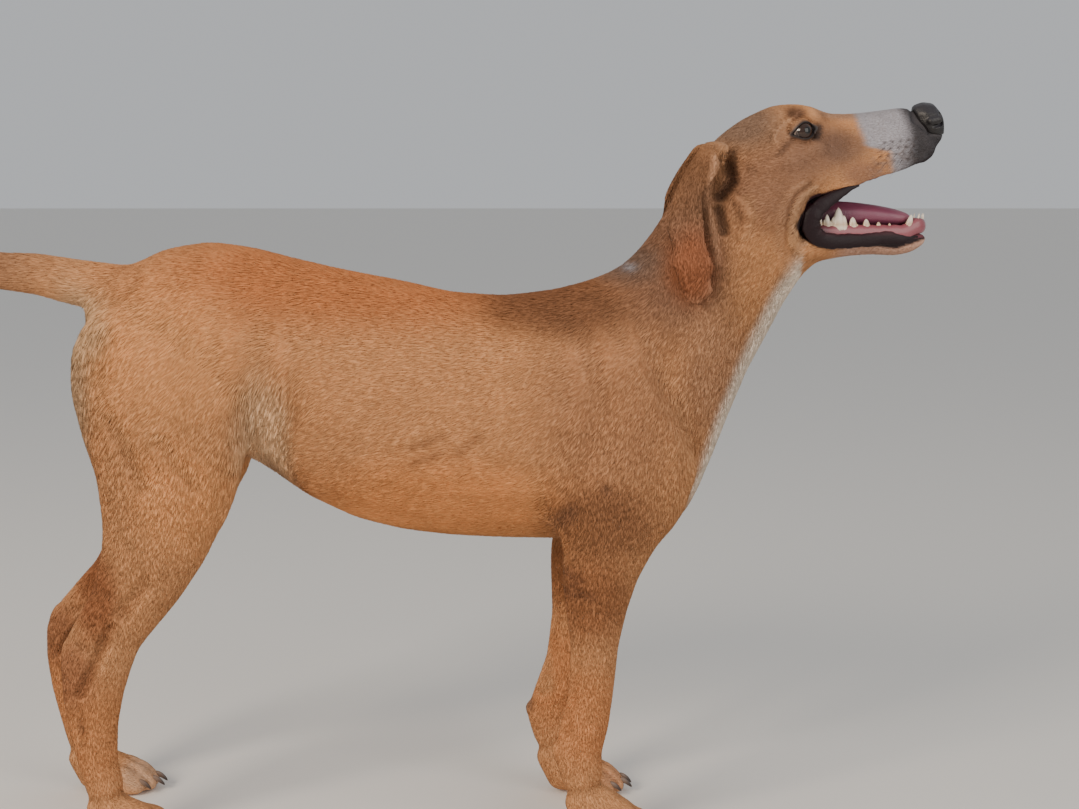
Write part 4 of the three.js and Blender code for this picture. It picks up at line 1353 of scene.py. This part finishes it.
def add_coat(points, quads, normals, colors, bare, lay, ears, skin, material):
    """Tufts all over the skin, in pieces by region."""
    ways, lengths, depths = lay
    lengths = lengths * TUFT["length"] * 1
    density = short_or_long(TUFT["cover"], lengths) * 2 / lengths / widths_of(lengths) * (1 - bare)
    density[(points[:, 2] < SOLE_TOP) & (normals[:, 2] < -0.5)] = 0
    values = [points, normals, colors, ways, lengths[:, None], (depths * TUFT["height"])[:, None]]
    roots, normals, tone, ways, lengths, depths = scattered(points, quads, density, values)
    normals = unit(normals)
    tufts = tuft_points(roots, normals, ways, lengths[:, 0], depths[:, 0], skin)
    uneven = 0.05 * STREAKY.at(roots) + random.uniform(-0.07, 0.07, len(roots))
    tone = tone[:, None] * (1 + uneven)[:, None, None] * TUFT["shade"][:, None]
    places = upright(roots)
    region = regions_of(places, ears.at(roots))
    for number, (name, axis) in enumerate(REGIONS.items()):
        for side, tag in ((-1, "R"), (1, "L")):
            here = (region == number) & ((roots[:, 1] >= 0) == (side > 0))
            flat = unwrapped(places[here], normals[here] * [1, side, 1], *axis)
            add_coat_piece(f"coat_{name}_{tag}", tufts[here], tone[here], flat, material)


def add_coat_piece(name, tufts, tone, flat, material):
    """One region's tufts, each with a small patch on the unwrap at its root's place."""
    triangles = (np.arange(len(tufts))[:, None, None] * 4 + TUFT["corners"]).reshape(-1, 3)
    patches = flat[:, None] + OFBAKE_PATCH / 2 * np.array([(-1, -1), (1, -1), (0, 0), (0, 1)])
    piece = add_piece(name, tufts.reshape(-1, 3), triangles, material, tone.reshape(-1, 3))
    layer = piece.data.uv_layers.new(name=OFBAKE)
    layer.data.foreach_set("uv", patches.reshape(-1, 2)[triangles.ravel()].astype(np.float32).ravel())


# ---------- the dog ----------
body, ears = body_grid()
points, quads = body.surface()
points = sculpt(points, normals_of(points, quads))
lay = in_blocks(lay_at, upright(points))
depth = lay[2] + NOSE_SINK * nose_share(upright(points))
points = points - normals_of(points, quads) * depth[:, None]
bare_skin = grid_round(points, quads)
for eye in EYES:
    points = eye.press_into(points)
normals = normals_of(points, quads)
colors, bare = markings_and_painted_light(points, normals)
skin_look = grained_material("skin", HAIR, 0.75, 0.3, 0.0008)
coat_look = grained_material("fur", HAIR, 0.75, 0.3)
add_whole("skin", (points, quads, colors), skin_look, FLESH)
add_coat(points, quads, normals, colors, bare, lay, ears, grid_round(points, quads), coat_look)
for eye, tag in zip(EYES, "RL"):
    look = grained_material("eye", BARE, 0.06)
    add_whole(f"eyeball_{tag}", eyeball(eye), look, [f"eye_{tag}"])
    add_whole(f"lids_{tag}", lids_of(eye, bare_skin), grained_material("lid", BARE, 0.5))
look = grained_material("nose", BARE, 0.42, relief=0.0004)
add_whole("nose_leather", nose_leather(), look, ["nose"])
look = grained_material("tongue", BARE, 0.3, relief=0.0003)
add_whole("tongue_flesh", tongue_form(), look, ["tongue"])
add_whole("lips", all_lips(), grained_material("lip", BARE, 0.4, 0.2, 0.0003))
add_whole("gums", all_gums(), grained_material("gum", BARE, 0.25))
add_whole("teeth", all_teeth(), grained_material("tooth", BARE, 0.2))
add_whole("claws", all_claws(), grained_material("claw", BARE, 0.4))
add_whole("whiskers", all_whiskers(bare_skin), grained_material("whisker", BARE, 0.5))


# ---------- the stage ----------
FLOOR = {"reach": 40.0, "color": rgb(226, 223, 218), "roughness": 0.8}
SKY = {"color": (0.85, 0.87, 0.9, 1), "strength": 0.6}
LIT_PLACE = (0, 0, 0.35)  # the lamps point here
LAMPS = [  # name, place, size, power and colour
    ("key", (-1.6, -1.8, 1.5), 1.0, 62, (1.0, 0.86, 0.70)),
    ("fill", (1.8, -1.8, 1.2), 2.0, 32, (1.0, 0.95, 0.88)),
]
CAMERA = {"place": (PLUMB_X * MM, -1.4, 0.55), "down": 7.53, "lens": 55.12, "sensor": 36.0}


def add_floor():
    reach = FLOOR["reach"]
    corners = [(-reach, -reach, 0), (reach, -reach, 0), (reach, reach, 0), (-reach, reach, 0)]
    mesh = bpy.data.meshes.new("floor")
    mesh.from_pydata(corners, [], [(0, 1, 2, 3)])
    mesh.materials.append(new_material("floor", FLOOR["color"], FLOOR["roughness"])[0])
    linked("floor", mesh)


def add_sky():
    world = bpy.data.worlds.new("studio")
    world.use_nodes = True
    background = world.node_tree.nodes["Background"]
    background.inputs["Color"].default_value = SKY["color"]
    background.inputs["Strength"].default_value = SKY["strength"]
    bpy.context.scene.world = world


def add_lamp(name, place, size, power, color):
    data = bpy.data.lights.new(name, "AREA")
    data.size = size
    data.energy = power
    data.color = color
    lamp = linked(name, data)
    lamp.location = place
    way = Vector(LIT_PLACE) - lamp.location
    lamp.rotation_euler = way.to_track_quat("-Z", "Y").to_euler()


def add_camera():
    data = bpy.data.cameras.new("camera")
    data.sensor_width = CAMERA["sensor"]
    data.lens = CAMERA["lens"]
    camera = linked("camera", data)
    camera.location = CAMERA["place"]
    camera.rotation_euler = (math.radians(90 - CAMERA["down"]), 0, 0)
    bpy.context.scene.camera = camera


add_floor()
add_sky()
for lamp in LAMPS:
    add_lamp(*lamp)
add_camera()
